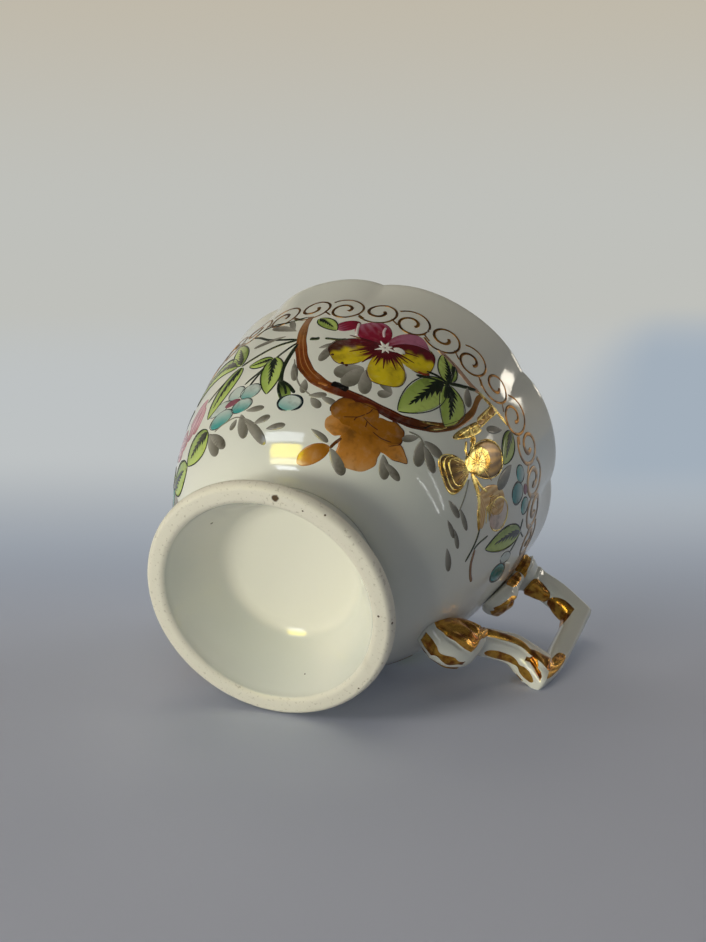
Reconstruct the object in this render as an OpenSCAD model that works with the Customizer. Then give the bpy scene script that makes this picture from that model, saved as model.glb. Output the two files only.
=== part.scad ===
// Footed porcelain moustache cup: lobed bowl, hollow foot, drinking guard and a squared branch handle.
// The cup stands upright on z = 0, its axis is Z and its handle points along +X. Sizes in millimetres.

/* [Bowl] */
// Height from the standing ring to the rim
cup_h = 77.4; // [72:0.2:86]
// Radius of the wall at the rim, before the lip flares
neck_r = 44.8; // [42:0.1:49]
// How far the lip flares out past the wall
lip_flare = 1.1; // [0.4:0.1:2.4]
// Height of the flared lip
lip_h = 12; // [8:0.5:18]
// Fullness of the body's curve, from lean to round
body_power = 1.8; // [1.6:0.02:2.1]
// Thickness of the wall at the rim
rim_t = 1.9; // [1.6:0.1:2.6]
// Thickness of the floor over the foot
floor_t = 4; // [3:0.1:6]
// Radius of the level part of the floor, inside
floor_r = 17; // [14:0.1:19]

/* [Scalloped rim] */
// Pairs of lobes round the rim, each a wide one and a narrow one
lobe_pairs = 4; // [3:1:6]
// Share of a pair that the wide lobe takes
wide_share = 0.58; // [0.5:0.01:0.66]
// Depth of the notches between the lobes
notch_depth = 1.4; // [0.4:0.1:2.2]
// Height over which the notches fade out below the rim
notch_fade = 24; // [16:1:34]
// Turn of the lobes against the handle, in degrees
lobe_turn = -3; // [-12:0.5:12]

/* [Foot] */
// Height of the foot below the bowl
foot_h = 15.2; // [12:0.1:18]
// Outer radius of the standing ring
foot_r = 27; // [25:0.1:31]
// Width of the rounded standing ring
ring_w = 4.4; // [3.6:0.1:5.6]
// Width of the level band that the cup stands on
stand_w = 1.6; // [1:0.1:2.4]
// Height of the standing ring's rounding
ring_round = 2.2; // [1.4:0.1:3]
// Radius of the seam between foot and bowl
seam_r = 19.5; // [18:0.1:22]
// Radius of the hollow where it reaches the bowl
hollow_r = 15.4; // [12:0.1:16.2]

/* [Moustache guard] */
// Depth of the ledge from the wall to its free edge
guard_depth = 26; // [20:0.5:30]
// Thickness of the ledge
guard_t = 2.4; // [2:0.1:3.2]
// Drop of the ledge's top below the rim
guard_drop = 6; // [4.5:0.1:9]
// Radius of the ledge's hollowed free edge
guard_edge_r = 60; // [52:1:80]
// Width of the sip opening along the wall
slot_w = 30; // [24:0.5:38]
// Depth of the sip opening from the wall
slot_depth = 7; // [6:0.1:9]

/* [Handle] */
// How far the handle's upper corner stands out from the wall
handle_reach = 22.2; // [19:0.1:26]
// Drop of the upper arm's top below the rim
arm_drop = 5.8; // [4:0.1:8]
// Depth of the arms, seen from the side
arm_depth = 7.4; // [6.4:0.1:8.6]
// Width of the arms across the handle
arm_w = 5.6; // [4.6:0.1:6.6]
// Depth of the upright between the corners
back_depth = 5.2; // [4.2:0.1:6.2]
// Length of the scroll that ties the upper arm to the bowl
collar_len = 4.6; // [3.6:0.1:6]
// Height of the elbow's spur above the foot's seam
spur_rise = 15.4; // [13:0.1:18]
// How far the spur stays inside the upper corner
spur_inset = 6.2; // [4.5:0.1:8]
// Depth of the elbow from its spur to the finger gap
elbow_depth = 11.9; // [10:0.1:14]
// Width of the scrolls across the handle
scroll_w = 8.8; // [7.4:0.1:10]
// Height of the lower scroll's middle above the foot's seam
scroll_rise = 11.6; // [10:0.1:13]
// Depth of the lower scroll
scroll_depth = 12.8; // [11:0.1:14]
// How far the lower scroll stands out from the wall
scroll_reach = 11; // [9.5:0.1:12.5]
// Length of the leaf that hangs below the upper scroll
leaf_len = 16; // [12:0.5:18]
// How far the leaf stands out from the wall
leaf_t = 4.8; // [3.8:0.1:5.6]
// Width of the leaf across the handle
leaf_w = 7.2; // [6:0.1:8.6]

/* [Fits] */
// Gap of the slip joint where a luted piece sits on the curved wall
lute_gap = 0.08; // [0.05:0.01:0.2]

/* [Hidden] */
glaze = "#f3f1ea";
bisque = "#e6e0d2";
floor_z = foot_h + floor_t;
lip_z = cup_h - rim_t / 2;
lobe_power = 3;
wide_steps = 12;
narrow_steps = 9;
outer_rings = 20;
inner_rings = 15;
rim_arc_step = 30;
section_points = 20;
section_power = 0.72;
run_steps = 4;
ring_spread = 1.5;
flank_power = 2.2;
elbow_swell = 1.12;
back_slim = 0.95;
root_share = 0.85;
scroll_seat = 0.64;
pair_angle = 360 / lobe_pairs;
wide_angle = pair_angle * wide_share;
narrow_angle = pair_angle - wide_angle;
lobe_start = lobe_turn - wide_angle / 2;
wall_angles = [for (k = [0 : lobe_pairs - 1], i = [0 : wide_steps + narrow_steps - 1])
    lobe_start + k * pair_angle + (i < wide_steps
        ? i * wide_angle / wide_steps
        : wide_angle + (i - wide_steps) * narrow_angle / narrow_steps)];

// The bowl's wall: radius at a height and at an angle round the cup
function clamp01(t) = max(0, min(1, t));
function smooth(t) = pow(clamp01(t), 2) * (3 - 2 * clamp01(t));
function body_curve(u) = sqrt(1 - pow(1 - clamp01(u), body_power));
function flare_at(z) = lip_flare * pow(clamp01(1 - (cup_h - z) / lip_h), 2);
function outer_r(z) = seam_r + (neck_r - seam_r) * body_curve((z - foot_h) / (cup_h - foot_h)) + flare_at(z);
function inner_r(z) = floor_r + (neck_r - rim_t - floor_r) * body_curve((z - floor_z) / (cup_h - floor_z))
    + flare_at(z);
function notch_at(z) = notch_depth * smooth(1 - (cup_h - z) / notch_fade);
function pair_pos(a) = (a - lobe_start) - pair_angle * floor((a - lobe_start) / pair_angle);
function lobe_dip(a) = let (b = pair_pos(a))
    pow(abs(b < wide_angle ? 2 * b / wide_angle - 1 : 2 * (b - wide_angle) / narrow_angle - 1), lobe_power);
function wall_out(z, a) = outer_r(z) - notch_at(z) * lobe_dip(a);
function wall_in(z, a) = inner_r(z) - notch_at(z) * lobe_dip(a);
function ring_at(z, radii) = [for (i = [0 : len(wall_angles) - 1])
    [radii[i] * cos(wall_angles[i]), radii[i] * sin(wall_angles[i]), z]];

// Joins rings of points into one closed solid, with a flat face or a fan to one point at each end
module loft(rings, first_point = undef) {
    n = len(rings[0]);
    last = len(rings) - 1;
    points = concat([for (ring = rings) each ring], is_undef(first_point) ? [] : [first_point]);
    sides = [for (j = [0 : last - 1], i = [0 : n - 1]) let (a = j * n + i, b = j * n + (i + 1) % n)
        each [[a, a + n, b], [b, a + n, b + n]]];
    first_cap = is_undef(first_point) ? [[for (i = [0 : n - 1]) i]]
        : [for (i = [0 : n - 1]) [i, (i + 1) % n, n * len(rings)]];
    last_cap = [[for (i = [n - 1 : -1 : 0]) last * n + i]];
    polyhedron(points, concat(sides, first_cap, last_cap), convexity = 6);
}

// The lobed bowl, from the seam up the outside, over the rim and down the inside to its level floor
module bowl() {
    outside = [for (i = [0 : outer_rings])
        let (z = foot_h + (lip_z - foot_h) * pow(i / outer_rings, ring_spread))
        ring_at(z, [for (a = wall_angles) wall_out(z, a)])];
    rim = [for (t = [rim_arc_step : rim_arc_step : 180 - rim_arc_step])
        ring_at(lip_z + rim_t / 2 * sin(t), [for (a = wall_angles)
            wall_out(lip_z, a) - rim_t / 2 * (1 - cos(t))])];
    inside = [for (i = [inner_rings : -1 : 0])
        let (z = floor_z + (lip_z - floor_z) * pow(i / inner_rings, ring_spread))
        ring_at(z, [for (a = wall_angles) wall_in(z, a)])];
    color(glaze) loft(concat(outside, rim, inside));
}

// The hollow foot: rounded standing ring, drawn-in flank, conical hollow under the bowl's floor
module foot() {
    ring_in = foot_r - ring_w;
    stand_in = foot_r - (ring_w + stand_w) / 2;
    stand_out = stand_in + stand_w;
    flank_h = foot_h - ring_round;
    outer_round = [for (t = [-90 : 15 : -15])
        [stand_out + (foot_r - stand_out) * cos(t), ring_round * (1 + sin(t))]];
    flank = [for (v = [0 : 0.1 : 1])
        [seam_r + (foot_r - seam_r) * pow(1 - v, flank_power), ring_round + flank_h * v]];
    inner_round = [for (t = [180 : 15 : 270])
        [stand_in + (stand_in - ring_in) * cos(t), ring_round / 2 * (1 + sin(t))]];
    color(bisque) rotate_extrude($fn = 96)
        polygon(concat(outer_round, flank, [[hollow_r, foot_h]], inner_round));
}

// The ledge that keeps a moustache dry, on the drinker's side, with its sip opening at the wall
module moustache_guard() {
    base_z = cup_h - guard_drop - guard_t;
    edge_y = guard_depth - inner_r(base_z);
    outline = [for (a = wall_angles) (wall_in(base_z, a) - lute_gap) * [cos(a), sin(a)]];
    color(glaze) translate([0, 0, base_z]) linear_extrude(guard_t) difference() {
        polygon(outline);
        translate([0, edge_y + guard_edge_r]) circle(guard_edge_r, $fn = 128);
        translate([0, -inner_r(base_z)]) {
            square([slot_w - 2 * slot_depth, 2 * slot_depth], center = true);
            for (side = [-1, 1]) translate([side * (slot_w / 2 - slot_depth), 0])
                circle(slot_depth, $fn = 64);
        }
    }
}

// A section of the handle: a rounded oblong between an outer and an inner point of its side view
function rounded(t) = sign(t) * pow(abs(t), section_power);
function turn_at(i) = 360 * i / section_points;
function section(k) = let (mid = [k[0] + k[2], k[1] + k[3]] / 2, half = [k[0] - k[2], k[1] - k[3]] / 2)
    [for (i = [0 : section_points - 1]) let (t = turn_at(i))
        [mid.x + half.x * rounded(sin(t)), k[4] / 2 * rounded(cos(t)), mid.y + half.y * rounded(sin(t))]];

// A smooth run of sections through key sections, each [outer x, outer z, inner x, inner z, width]
function between(a, b, c, d, t) = (2 * b + (c - a) * t + (2 * a - 5 * b + 4 * c - d) * t * t
    + (3 * b - a - 3 * c + d) * t * t * t) / 2;
function run(keys) = let (last = len(keys) - 1)
    [for (i = [0 : last - 1], s = [0 : run_steps - 1])
        between(keys[max(0, i - 1)], keys[i], keys[i + 1], keys[min(last, i + 2)], s / run_steps),
        keys[last]];
function sections(keys) = [for (k = run(keys)) section(k)];
function flipped(k) = [k[2], k[3], k[0], k[1], k[4]];

// An oblong laid on the bowl's outer wall, and a point there that may stand out from it
function on_wall(y, z, out = 0) = let (r = wall_out(z, asin(y / outer_r(z))) + lute_gap)
    [sqrt(r * r - y * y) + out, y, z];
function root(mid_z, depth, width) = [for (i = [0 : section_points - 1]) let (t = turn_at(i))
    on_wall(width / 2 * rounded(cos(t)), mid_z + depth / 2 * rounded(sin(t)))];

// The handle's side view: its corners, and the seams where its members meet
arm_top = cup_h - arm_drop;
arm_low = arm_top - arm_depth;
arm_mid = (arm_top + arm_low) / 2;
wall_x = outer_r(arm_mid);
corner_x = wall_x + handle_reach;
collar_x = wall_x + collar_len;
collar_w = (arm_w + scroll_w) / 2;
collar_lip = arm_depth / 10;
back_x = corner_x - back_depth;
spur_x = corner_x - spur_inset;
spur_z = foot_h + spur_rise;
inside_z = spur_z + elbow_depth;
scroll_z = foot_h + scroll_rise;
scroll_x = outer_r(scroll_z);
collar = [collar_x, arm_top + collar_lip, collar_x, arm_low - collar_lip, collar_w];
corner = [corner_x, arm_top - arm_depth * 0.25, back_x - back_depth * 0.15, arm_low - arm_depth * 0.2, arm_w];
elbow = [spur_x, spur_z, spur_x - spur_inset * 0.2, inside_z, arm_w * elbow_swell];
function scroll_at(out_low, low, out_top, top, width) = [scroll_x + scroll_reach * out_low,
    scroll_z + scroll_depth * low, scroll_x + scroll_reach * out_top, scroll_z + scroll_depth * top, width];
scroll_end = scroll_at(1, 0.25, 0.82, 0.73, arm_w);

// Key sections of each member, between those seams
arm_run_x = (collar_x + corner_x) / 2;
neck_x = collar_x + collar_len / 2;
upper_keys = [collar, [neck_x, arm_top, neck_x, arm_low, arm_w],
    [arm_run_x, arm_top, arm_run_x - collar_len / 4, arm_low, arm_w], corner];
back_mid_z = (corner[1] + inside_z) / 2;
back_keys = [corner,
    [corner_x - back_depth * 0.25, back_mid_z, back_x - back_depth * 0.22, back_mid_z, arm_w * back_slim],
    [corner_x - spur_inset * 0.5, inside_z - elbow_depth * 0.12, back_x - back_depth * 0.4,
        inside_z + elbow_depth * 0.3, arm_w], elbow];
swell_x = (scroll_end[0] + spur_x) / 2 - arm_depth * 0.14;
swell_z = spur_z + elbow_depth * 0.59;
lower_keys = [elbow,
    [spur_x - spur_inset * 0.8, spur_z + elbow_depth * 0.2, spur_x - spur_inset, inside_z - elbow_depth * 0.05,
        arm_w * elbow_swell],
    [swell_x, swell_z - arm_depth / 2, swell_x - arm_depth * 0.2, swell_z + arm_depth / 2, arm_w], scroll_end];
scroll_keys = [scroll_at(0.15, -0.54, 0.34, 0.46, scroll_w * 0.95), scroll_at(0.55, -0.5, 0.58, 0.56, scroll_w),
    scroll_at(0.9, -0.18, 0.72, 0.65, scroll_w * 0.84), scroll_end];
bell_x = wall_x + collar_len * 0.45;
collar_keys = [[bell_x, arm_top + collar_lip, bell_x, arm_low - 2 * collar_lip, scroll_w], collar];

module upper_scroll() {
    depth = arm_depth + 3 * collar_lip;
    width = scroll_w * root_share;
    color(glaze) loft(concat([root(arm_mid, depth / 2, width / 2), root(arm_mid, depth, width)],
        sections(collar_keys)), on_wall(0, arm_mid));
}

module upper_arm() {
    color(glaze) loft(sections(upper_keys));
}

module back_bar() {
    color(glaze) loft(sections(back_keys));
}

module lower_arm() {
    color(glaze) loft(sections(lower_keys));
}

module lower_scroll() {
    depth = scroll_depth * scroll_seat;
    width = scroll_w * root_share;
    color(glaze) loft(concat([root(scroll_z, depth / 2, width / 2), root(scroll_z, depth, width)],
        sections([for (k = scroll_keys) flipped(k)])), on_wall(0, scroll_z));
}

// The leaf below the upper scroll: level sections that lie on the wall, from its cut top to its round tip.
// Each row gives the share of its length, its width and its thickness.
leaf_shape = [[0, 0.9, 0.75], [0.3, 0.86, 0.8], [0.6, 1, 1], [0.8, 0.92, 0.96], [0.93, 0.62, 0.7],
    [1, 0.2, 0.35]];

module upper_leaf() {
    top_z = arm_low - 3 * collar_lip;
    rings = [for (row = leaf_shape) [for (i = [0 : section_points - 1]) let (t = turn_at(i))
        on_wall(leaf_w * row[1] / 2 * rounded(cos(t)), top_z - leaf_len * row[0],
            leaf_t * row[2] * (1 + rounded(sin(t))) / 2)]];
    color(glaze) loft(rings);
}

bowl();
foot();
moustache_guard();
upper_scroll();
upper_arm();
back_bar();
lower_arm();
lower_scroll();
upper_leaf();
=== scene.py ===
# %% [markdown]
# # A footed porcelain moustache cup
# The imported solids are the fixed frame: they say where everything is and how big it is. This lesson gives
# the cup its looks around them, from the glaze to the last painted leaf. Forms are worked out in
# millimetres, as a potter measures, and turned into Blender's metres when a mesh is made.

# %% Load the frame
import math

import bmesh
import bpy
import numpy as np
from mathutils import Matrix, Vector


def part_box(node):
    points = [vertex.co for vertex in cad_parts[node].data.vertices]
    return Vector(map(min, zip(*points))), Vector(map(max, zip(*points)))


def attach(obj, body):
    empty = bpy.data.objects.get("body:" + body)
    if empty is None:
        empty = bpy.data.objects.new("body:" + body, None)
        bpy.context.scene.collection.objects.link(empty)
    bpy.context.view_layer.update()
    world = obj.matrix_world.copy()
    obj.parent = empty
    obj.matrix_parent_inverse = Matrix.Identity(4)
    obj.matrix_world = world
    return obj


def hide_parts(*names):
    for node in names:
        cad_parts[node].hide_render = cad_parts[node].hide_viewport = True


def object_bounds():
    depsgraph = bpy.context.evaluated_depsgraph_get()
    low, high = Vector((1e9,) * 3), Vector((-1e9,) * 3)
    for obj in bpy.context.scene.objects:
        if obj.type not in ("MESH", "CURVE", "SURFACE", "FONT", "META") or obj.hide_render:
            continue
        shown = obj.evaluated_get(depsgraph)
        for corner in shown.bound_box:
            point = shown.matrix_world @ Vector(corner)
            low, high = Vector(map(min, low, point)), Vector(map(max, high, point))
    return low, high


MM = 0.001
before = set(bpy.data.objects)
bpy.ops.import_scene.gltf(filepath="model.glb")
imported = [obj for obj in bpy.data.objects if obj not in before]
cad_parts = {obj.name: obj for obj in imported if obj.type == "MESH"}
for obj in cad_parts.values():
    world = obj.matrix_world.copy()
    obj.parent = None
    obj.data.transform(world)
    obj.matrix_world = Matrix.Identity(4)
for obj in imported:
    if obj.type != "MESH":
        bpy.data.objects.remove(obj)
cad_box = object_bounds()
scene = bpy.context.scene
scene.view_settings.view_transform = "Standard"
print("solids:", ", ".join(sorted(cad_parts)))

# %% [markdown]
# ## The room
# The cup lies on its side, resting on the foot's edge, the rim and the handle's elbow. The solids stay
# upright, so the room is tilted instead: the floor's upward direction and the camera's place are given in
# the cup's own frame. Both could be found by trial, but measuring a few points of the foot and the rim in a
# picture gives them in one go.

# %% Camera
IMAGE_HEIGHT_PX = 942
FOCAL_PX = 1200
SENSOR_MM = 36
CAMERA_AT = Vector((5.99, -155.31, -188.99)) * MM
CAMERA_LOOK = Vector((-0.0281, 0.5265, 0.8497)).normalized()
CAMERA_UP = Vector((-0.5709, -0.7062, 0.4187)).normalized()


def facing(look, up):
    """A rotation that points -Z along look, with +Y as near to up as it goes."""
    right = look.cross(up).normalized()
    return Matrix((right, right.cross(look), -look)).transposed().to_4x4()


camera_data = bpy.data.cameras.new("photo_camera")
camera_data.sensor_width = SENSOR_MM
camera_data.lens = FOCAL_PX / IMAGE_HEIGHT_PX * SENSOR_MM
camera_data.clip_start = 0.01
camera = bpy.data.objects.new("photo_camera", camera_data)
camera.matrix_world = Matrix.Translation(CAMERA_AT) @ facing(CAMERA_LOOK, CAMERA_UP)
scene.collection.objects.link(camera)
scene.camera = camera
print("lens", round(camera_data.lens, 2), "mm")

# %% Helpers for node trees
SOCKETS = {"number": "NodeSocketFloat", "count": "NodeSocketInt", "colour": "NodeSocketColor",
           "shape": "NodeSocketGeometry", "material": "NodeSocketMaterial", "object": "NodeSocketObject"}


def add(tree, kind, inputs=None, **settings):
    """A new node, with its settings, and with each input set to a value or joined to an output."""
    node = tree.nodes.new(kind)
    for name, value in settings.items():
        setattr(node, name, value)
    for name, value in (inputs or {}).items():
        if isinstance(value, bpy.types.NodeSocket):
            tree.links.new(value, node.inputs[name])
        else:
            node.inputs[name].default_value = value
    return node


def calc(tree, operation, *values):
    """One step of arithmetic, as a Math node's output."""
    return add(tree, "ShaderNodeMath", dict(enumerate(values)), operation=operation).outputs[0]


def calc_vector(tree, operation, first, second):
    """One step with vectors: a number for DOT_PRODUCT and DISTANCE, and a vector otherwise."""
    node = add(tree, "ShaderNodeVectorMath", {0: first, 1: second}, operation=operation)
    return node.outputs["Value" if operation in ("DOT_PRODUCT", "DISTANCE") else "Vector"]


def new_tree(name, kind, inputs, outputs):
    """A node group with named sockets, its inputs as a dictionary, and its output node."""
    tree = bpy.data.node_groups.new(name, kind)
    for label, sort, value in inputs:
        socket = tree.interface.new_socket(label, in_out="INPUT", socket_type=SOCKETS[sort])
        if value is not None:
            socket.default_value = value
    for label, sort in outputs:
        tree.interface.new_socket(label, in_out="OUTPUT", socket_type=SOCKETS[sort])
    given = tree.nodes.new("NodeGroupInput").outputs
    return tree, {s.name: s for s in given}, tree.nodes.new("NodeGroupOutput")


def mix_colour(tree, share, first, second):
    """A Mix node for colours."""
    return add(tree, "ShaderNodeMix", {0: share, 6: first, 7: second}, data_type="RGBA").outputs[2]


def noise(tree, place, scale, detail=2.0):
    """A Noise Texture's number."""
    node = add(tree, "ShaderNodeTexNoise", {"Vector": place, "Scale": scale, "Detail": detail})
    return node.outputs["Fac"]


def object_place(tree):
    """A place on the piece in its own frame, in metres."""
    return add(tree, "ShaderNodeTexCoord").outputs["Object"]


def tone(code):
    """A colour in Blender's linear values, from the usual six letters and digits."""
    shares = [int(code[i:i + 2], 16) / 255 for i in (1, 3, 5)]
    return [s / 12.92 if s <= 0.04045 else ((s + 0.055) / 1.055) ** 2.4 for s in shares] + [1.0]


def fade(tree, value, low, high):
    """0 below low, 1 above high, and a soft step between."""
    node = add(tree, "ShaderNodeMapRange", {"Value": value, "From Min": low, "From Max": high},
               interpolation_type="SMOOTHSTEP")
    return node.outputs[0]


print("node helpers ready")

# %% [markdown]
# ## Floor and light
# A studio table is one pale sheet that runs up behind the object. Here it is a flat disc whose far part
# slowly takes the backdrop's own tone, so no wall stands in the way of other views. That far part glows,
# darker towards the cup: a painted shade, with a painted shadow of the cup on the right. From behind, the
# disc lets the camera through. Most of the light comes from the left and from behind the camera, low down. A
# real window gives both the soft light and a sharp glint in the glaze. One lamp could not do both, so soft
# lamps that the glaze doesn't mirror give the light, from several sides, and panes that light nothing give
# the glint and two thin streaks. A strip and a far window at the right give the gold something to reflect.
# The room is pale at eye level, dim and bluish behind the camera and dark above.

# %% Floor
FLOOR_UP = Vector((-0.5533, -0.7985, 0.2372)).normalized()
FLOOR_POINT = Vector((62.48, -73.78, -213.21)) * MM
FLOOR_R = 1.5
FLOOR_STEPS = 96
WALL_LOW = "#bfc0bb"
WALL_HIGH = "#c0b8a7"
WALL_FRONT = "#4b5d6c"
CEILING = "#48484b"
room_back = (CAMERA_LOOK - FLOOR_UP * CAMERA_LOOK.dot(FLOOR_UP)).normalized()
room_right = room_back.cross(FLOOR_UP)
cup_middle = (cad_box[0] + cad_box[1]) / 2
floor_middle = cup_middle - FLOOR_UP * (cup_middle - FLOOR_POINT).dot(FLOOR_UP)


def in_room(right, back, up):
    """A direction given by the room's right, back and up, in the cup's frame."""
    return room_right * right + room_back * back + FLOOR_UP * up


def floor_material():
    mat = bpy.data.materials.new("studio_floor")
    mat.use_nodes = True
    tree = mat.node_tree
    tree.nodes.clear()
    place = object_place(tree)
    from_cup = calc_vector(tree, "SUBTRACT", place, floor_middle)
    along = calc_vector(tree, "DOT_PRODUCT", from_cup, room_back)
    aside = calc_vector(tree, "DOT_PRODUCT", from_cup, room_right)
    far = fade(tree, along, -0.03, 0.13)
    near_tone = mix_colour(tree, noise(tree, place, 9.0, 3.0), tone("#cdd3e6"), tone("#d5dbee"))
    paper = add(tree, "ShaderNodeBsdfDiffuse", {"Color": near_tone})
    # The backdrop's glow is darker near the cup and paler far off: a painted shade, not light from the
    # lamps.
    sweep = mix_colour(tree, fade(tree, along, 0.06, 0.27), tone("#959ca6"), tone("#bec2c3"))
    sweep = mix_colour(tree, fade(tree, along, 0.4, 1.2), sweep, tone(WALL_LOW))
    # A painted shadow of the cup: a bluish patch in the glow at the right, where the cup's shadow falls.
    painted_shadow_edge = calc(tree, "MULTIPLY_ADD", along, -0.28, aside)
    painted_shadow = calc(tree, "MULTIPLY", fade(tree, painted_shadow_edge, -0.02, 0.05),
                 calc(tree, "MULTIPLY", fade(tree, along, 0.1, 0.25), fade(tree, along, 1.3, 0.6)))
    glow_tone = mix_colour(tree, painted_shadow, sweep, tone("#a3afbb"))
    glow = add(tree, "ShaderNodeEmission", {"Color": glow_tone})
    sheet = add(tree, "ShaderNodeMixShader", {0: far, 1: paper.outputs[0], 2: glow.outputs[0]})
    behind = add(tree, "ShaderNodeNewGeometry").outputs["Backfacing"]
    clear = add(tree, "ShaderNodeBsdfTransparent")
    one_sided = add(tree, "ShaderNodeMixShader", {0: behind, 1: sheet.outputs[0], 2: clear.outputs[0]})
    add(tree, "ShaderNodeOutputMaterial", {"Surface": one_sided.outputs[0]})
    return mat


def make_floor():
    rim = [floor_middle + FLOOR_R * (room_right * math.cos(a) + room_back * math.sin(a))
           for a in np.linspace(0, 2 * math.pi, FLOOR_STEPS, endpoint=False)]
    slices = [(0, 1 + i, 1 + (i + 1) % FLOOR_STEPS) for i in range(FLOOR_STEPS)]
    mesh = bpy.data.meshes.new("studio_floor")
    mesh.from_pydata([floor_middle] + rim, [], slices)
    floor = bpy.data.objects.new("studio_floor", mesh)
    floor.data.materials.append(floor_material())
    scene.collection.objects.link(floor)
    return floor


floor = make_floor()
print("floor faces up:", floor.data.polygons[0].normal.dot(FLOOR_UP) > 0)


# %% Lamps
def lamp(name, toward, distance, width, height, watts, colour, roll=0):
    """A soft rectangular lamp that looks at the cup from a direction of the room, rolled by some degrees."""
    data = bpy.data.lights.new(name, "AREA")
    data.shape = "RECTANGLE"
    data.size = width
    data.size_y = height
    data.energy = watts
    data.color = tone(colour)[:3]
    light = bpy.data.objects.new(name, data)
    direction = in_room(*toward).normalized()
    turned = facing(-direction, FLOOR_UP) @ Matrix.Rotation(math.radians(roll), 4, "Z")
    light.matrix_world = Matrix.Translation(cup_middle + direction * distance) @ turned
    scene.collection.objects.link(light)
    return light


LAMP_DISTANCE = 0.9
STRIP_DISTANCE = 0.8
# Name, direction in the room, width and height in metres, watts and colour
SOFT_LAMPS = [("soft_key", (-0.64, -0.765, 0.06), 0.55, 0.2, 4.2, "#fffde8"),
              ("soft_left", (-0.95, -0.25, 0.12), 0.4, 0.4, 1.15, "#fffaf0"),
              ("soft_top", (-0.62, -0.5, 0.6), 0.27, 0.3, 0.7, "#fffaf0"),
              ("soft_over", (0.0, 0.05, 1.0), 0.4, 0.4, 0.7, "#fff3da"),
              ("soft_back", (-0.2, 0.6, 0.77), 0.4, 0.4, 0.7, "#fff2dc"),
              ("soft_right", (0.6, 0.6, 0.5), 0.4, 0.4, 0.45, "#fff0d4")]
# Name, turn, rise and roll in degrees, width and height in metres, watts and colour
WINDOW_PANES = [("window_top", 214, 48, 25, 0.4, 0.16, 1.4, "#eaf4ff"),
                ("window_middle", 226, 33, 17, 0.3, 0.3, 3.7, "#ffea00"),
                ("window_sill", 230, 18, 15, 0.28, 0.16, 1.7, "#fff3b0"),
                ("window_low", 231, 6, 8, 0.15, 0.14, 0.75, "#f2f8ff"),
                ("gap_left", 335, 13, 23, 0.008, 0.4, 0.12, "#ffffff"),
                ("gap_right", 342, 13, 12, 0.008, 0.36, 0.1, "#ffffff")]


def toward_pane(turn, rise):
    """A direction, in degrees round the room from its right and above the floor."""
    turn, rise = math.radians(turn), math.radians(rise)
    return math.cos(rise) * math.cos(turn), math.cos(rise) * math.sin(turn), math.sin(rise)


for name, toward, width, height, watts, colour in SOFT_LAMPS:
    lamp(name, toward, LAMP_DISTANCE, width, height, watts, colour).visible_glossy = False
for name, turn, rise, roll, width, height, watts, colour in WINDOW_PANES:
    pane = lamp(name, toward_pane(turn, rise), LAMP_DISTANCE, width, height, watts, colour, roll)
    pane.visible_diffuse = False
strip = lamp("right_strip", (0.97, 0.15, 0.24), STRIP_DISTANCE, 0.22, 0.12, 0.36, "#fff6e4")
strip.visible_diffuse = False
lamp("far_window", (0.75, 0.6, 0.27), LAMP_DISTANCE, 0.08, 0.12, 0.2, "#fff6e4")


# %% World
def make_world():
    """A room that is pale at the back, dimmer behind the camera, warmer higher up and dark above."""
    world = bpy.data.worlds.new("studio")
    world.use_nodes = True
    tree = world.node_tree
    toward = add(tree, "ShaderNodeTexCoord").outputs["Generated"]
    rise = calc_vector(tree, "DOT_PRODUCT", toward, FLOOR_UP)
    wall = mix_colour(tree, fade(tree, rise, 0.0, 0.22), tone(WALL_LOW), tone(WALL_HIGH))
    back = calc_vector(tree, "DOT_PRODUCT", toward, room_back)
    wall = mix_colour(tree, fade(tree, back, -0.6, 0.3), tone(WALL_FRONT), wall)
    room = mix_colour(tree, fade(tree, rise, 0.18, 0.42), wall, tone(CEILING))
    tree.links.new(room, tree.nodes["Background"].inputs["Color"])
    scene.world = world


make_world()
print("room:", scene.world.name)

# %% [markdown]
# ## The bowl's wall as a formula
# The bowl is a turned form with eight shallow lobes pressed into its rim, wide and narrow in turn. Its wall
# could be modelled by hand, but the painting has to lie on it exactly, so the wall is a formula: a radius
# for each height and angle. Everything that sits on the wall asks the same formula.

# %% Wall formula
CUP_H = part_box("bowl")[1].z / MM
FOOT_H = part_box("bowl")[0].z / MM
NECK_R = 44.8
SEAM_R = 19.5
LIP_FLARE = 1.08
LIP_H = 12.0
BODY_POWER = 1.8
RIM_T = 1.9
BOWL_FLOOR_T = 4.0
FLOOR_Z = FOOT_H + BOWL_FLOOR_T
INSIDE_FLOOR_R = 17.0
NOTCH_DEPTH = 1.4
NOTCH_FADE = 24.0
PAIR_ANGLE = 90.0
WIDE_ANGLE = 52.2
LOBE_TURN = -3.0
LOBE_START = LOBE_TURN - WIDE_ANGLE / 2
LOBE_POWER = 3.0


def soft_step(t):
    """0 up to t = 0, 1 from t = 1, and a smooth rise between."""
    t = np.clip(t, 0, 1)
    return t * t * (3 - 2 * t)


def body_curve(u):
    """How far the wall has widened, from 0 to 1, at a share of its height."""
    return np.sqrt(1 - (1 - np.clip(u, 0, 1)) ** BODY_POWER)


def flare_at(z):
    return LIP_FLARE * np.clip(1 - (CUP_H - z) / LIP_H, 0, 1) ** 2


def outer_r(z):
    """The outer face's radius at a height, before the lobes are pressed in."""
    return SEAM_R + (NECK_R - SEAM_R) * body_curve((z - FOOT_H) / (CUP_H - FOOT_H)) + flare_at(z)


def inner_r(z):
    """The inner face's radius at a height, before the lobes are pressed in."""
    share = body_curve((z - FLOOR_Z) / (CUP_H - FLOOR_Z))
    return INSIDE_FLOOR_R + (NECK_R - RIM_T - INSIDE_FLOOR_R) * share + flare_at(z)


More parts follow.
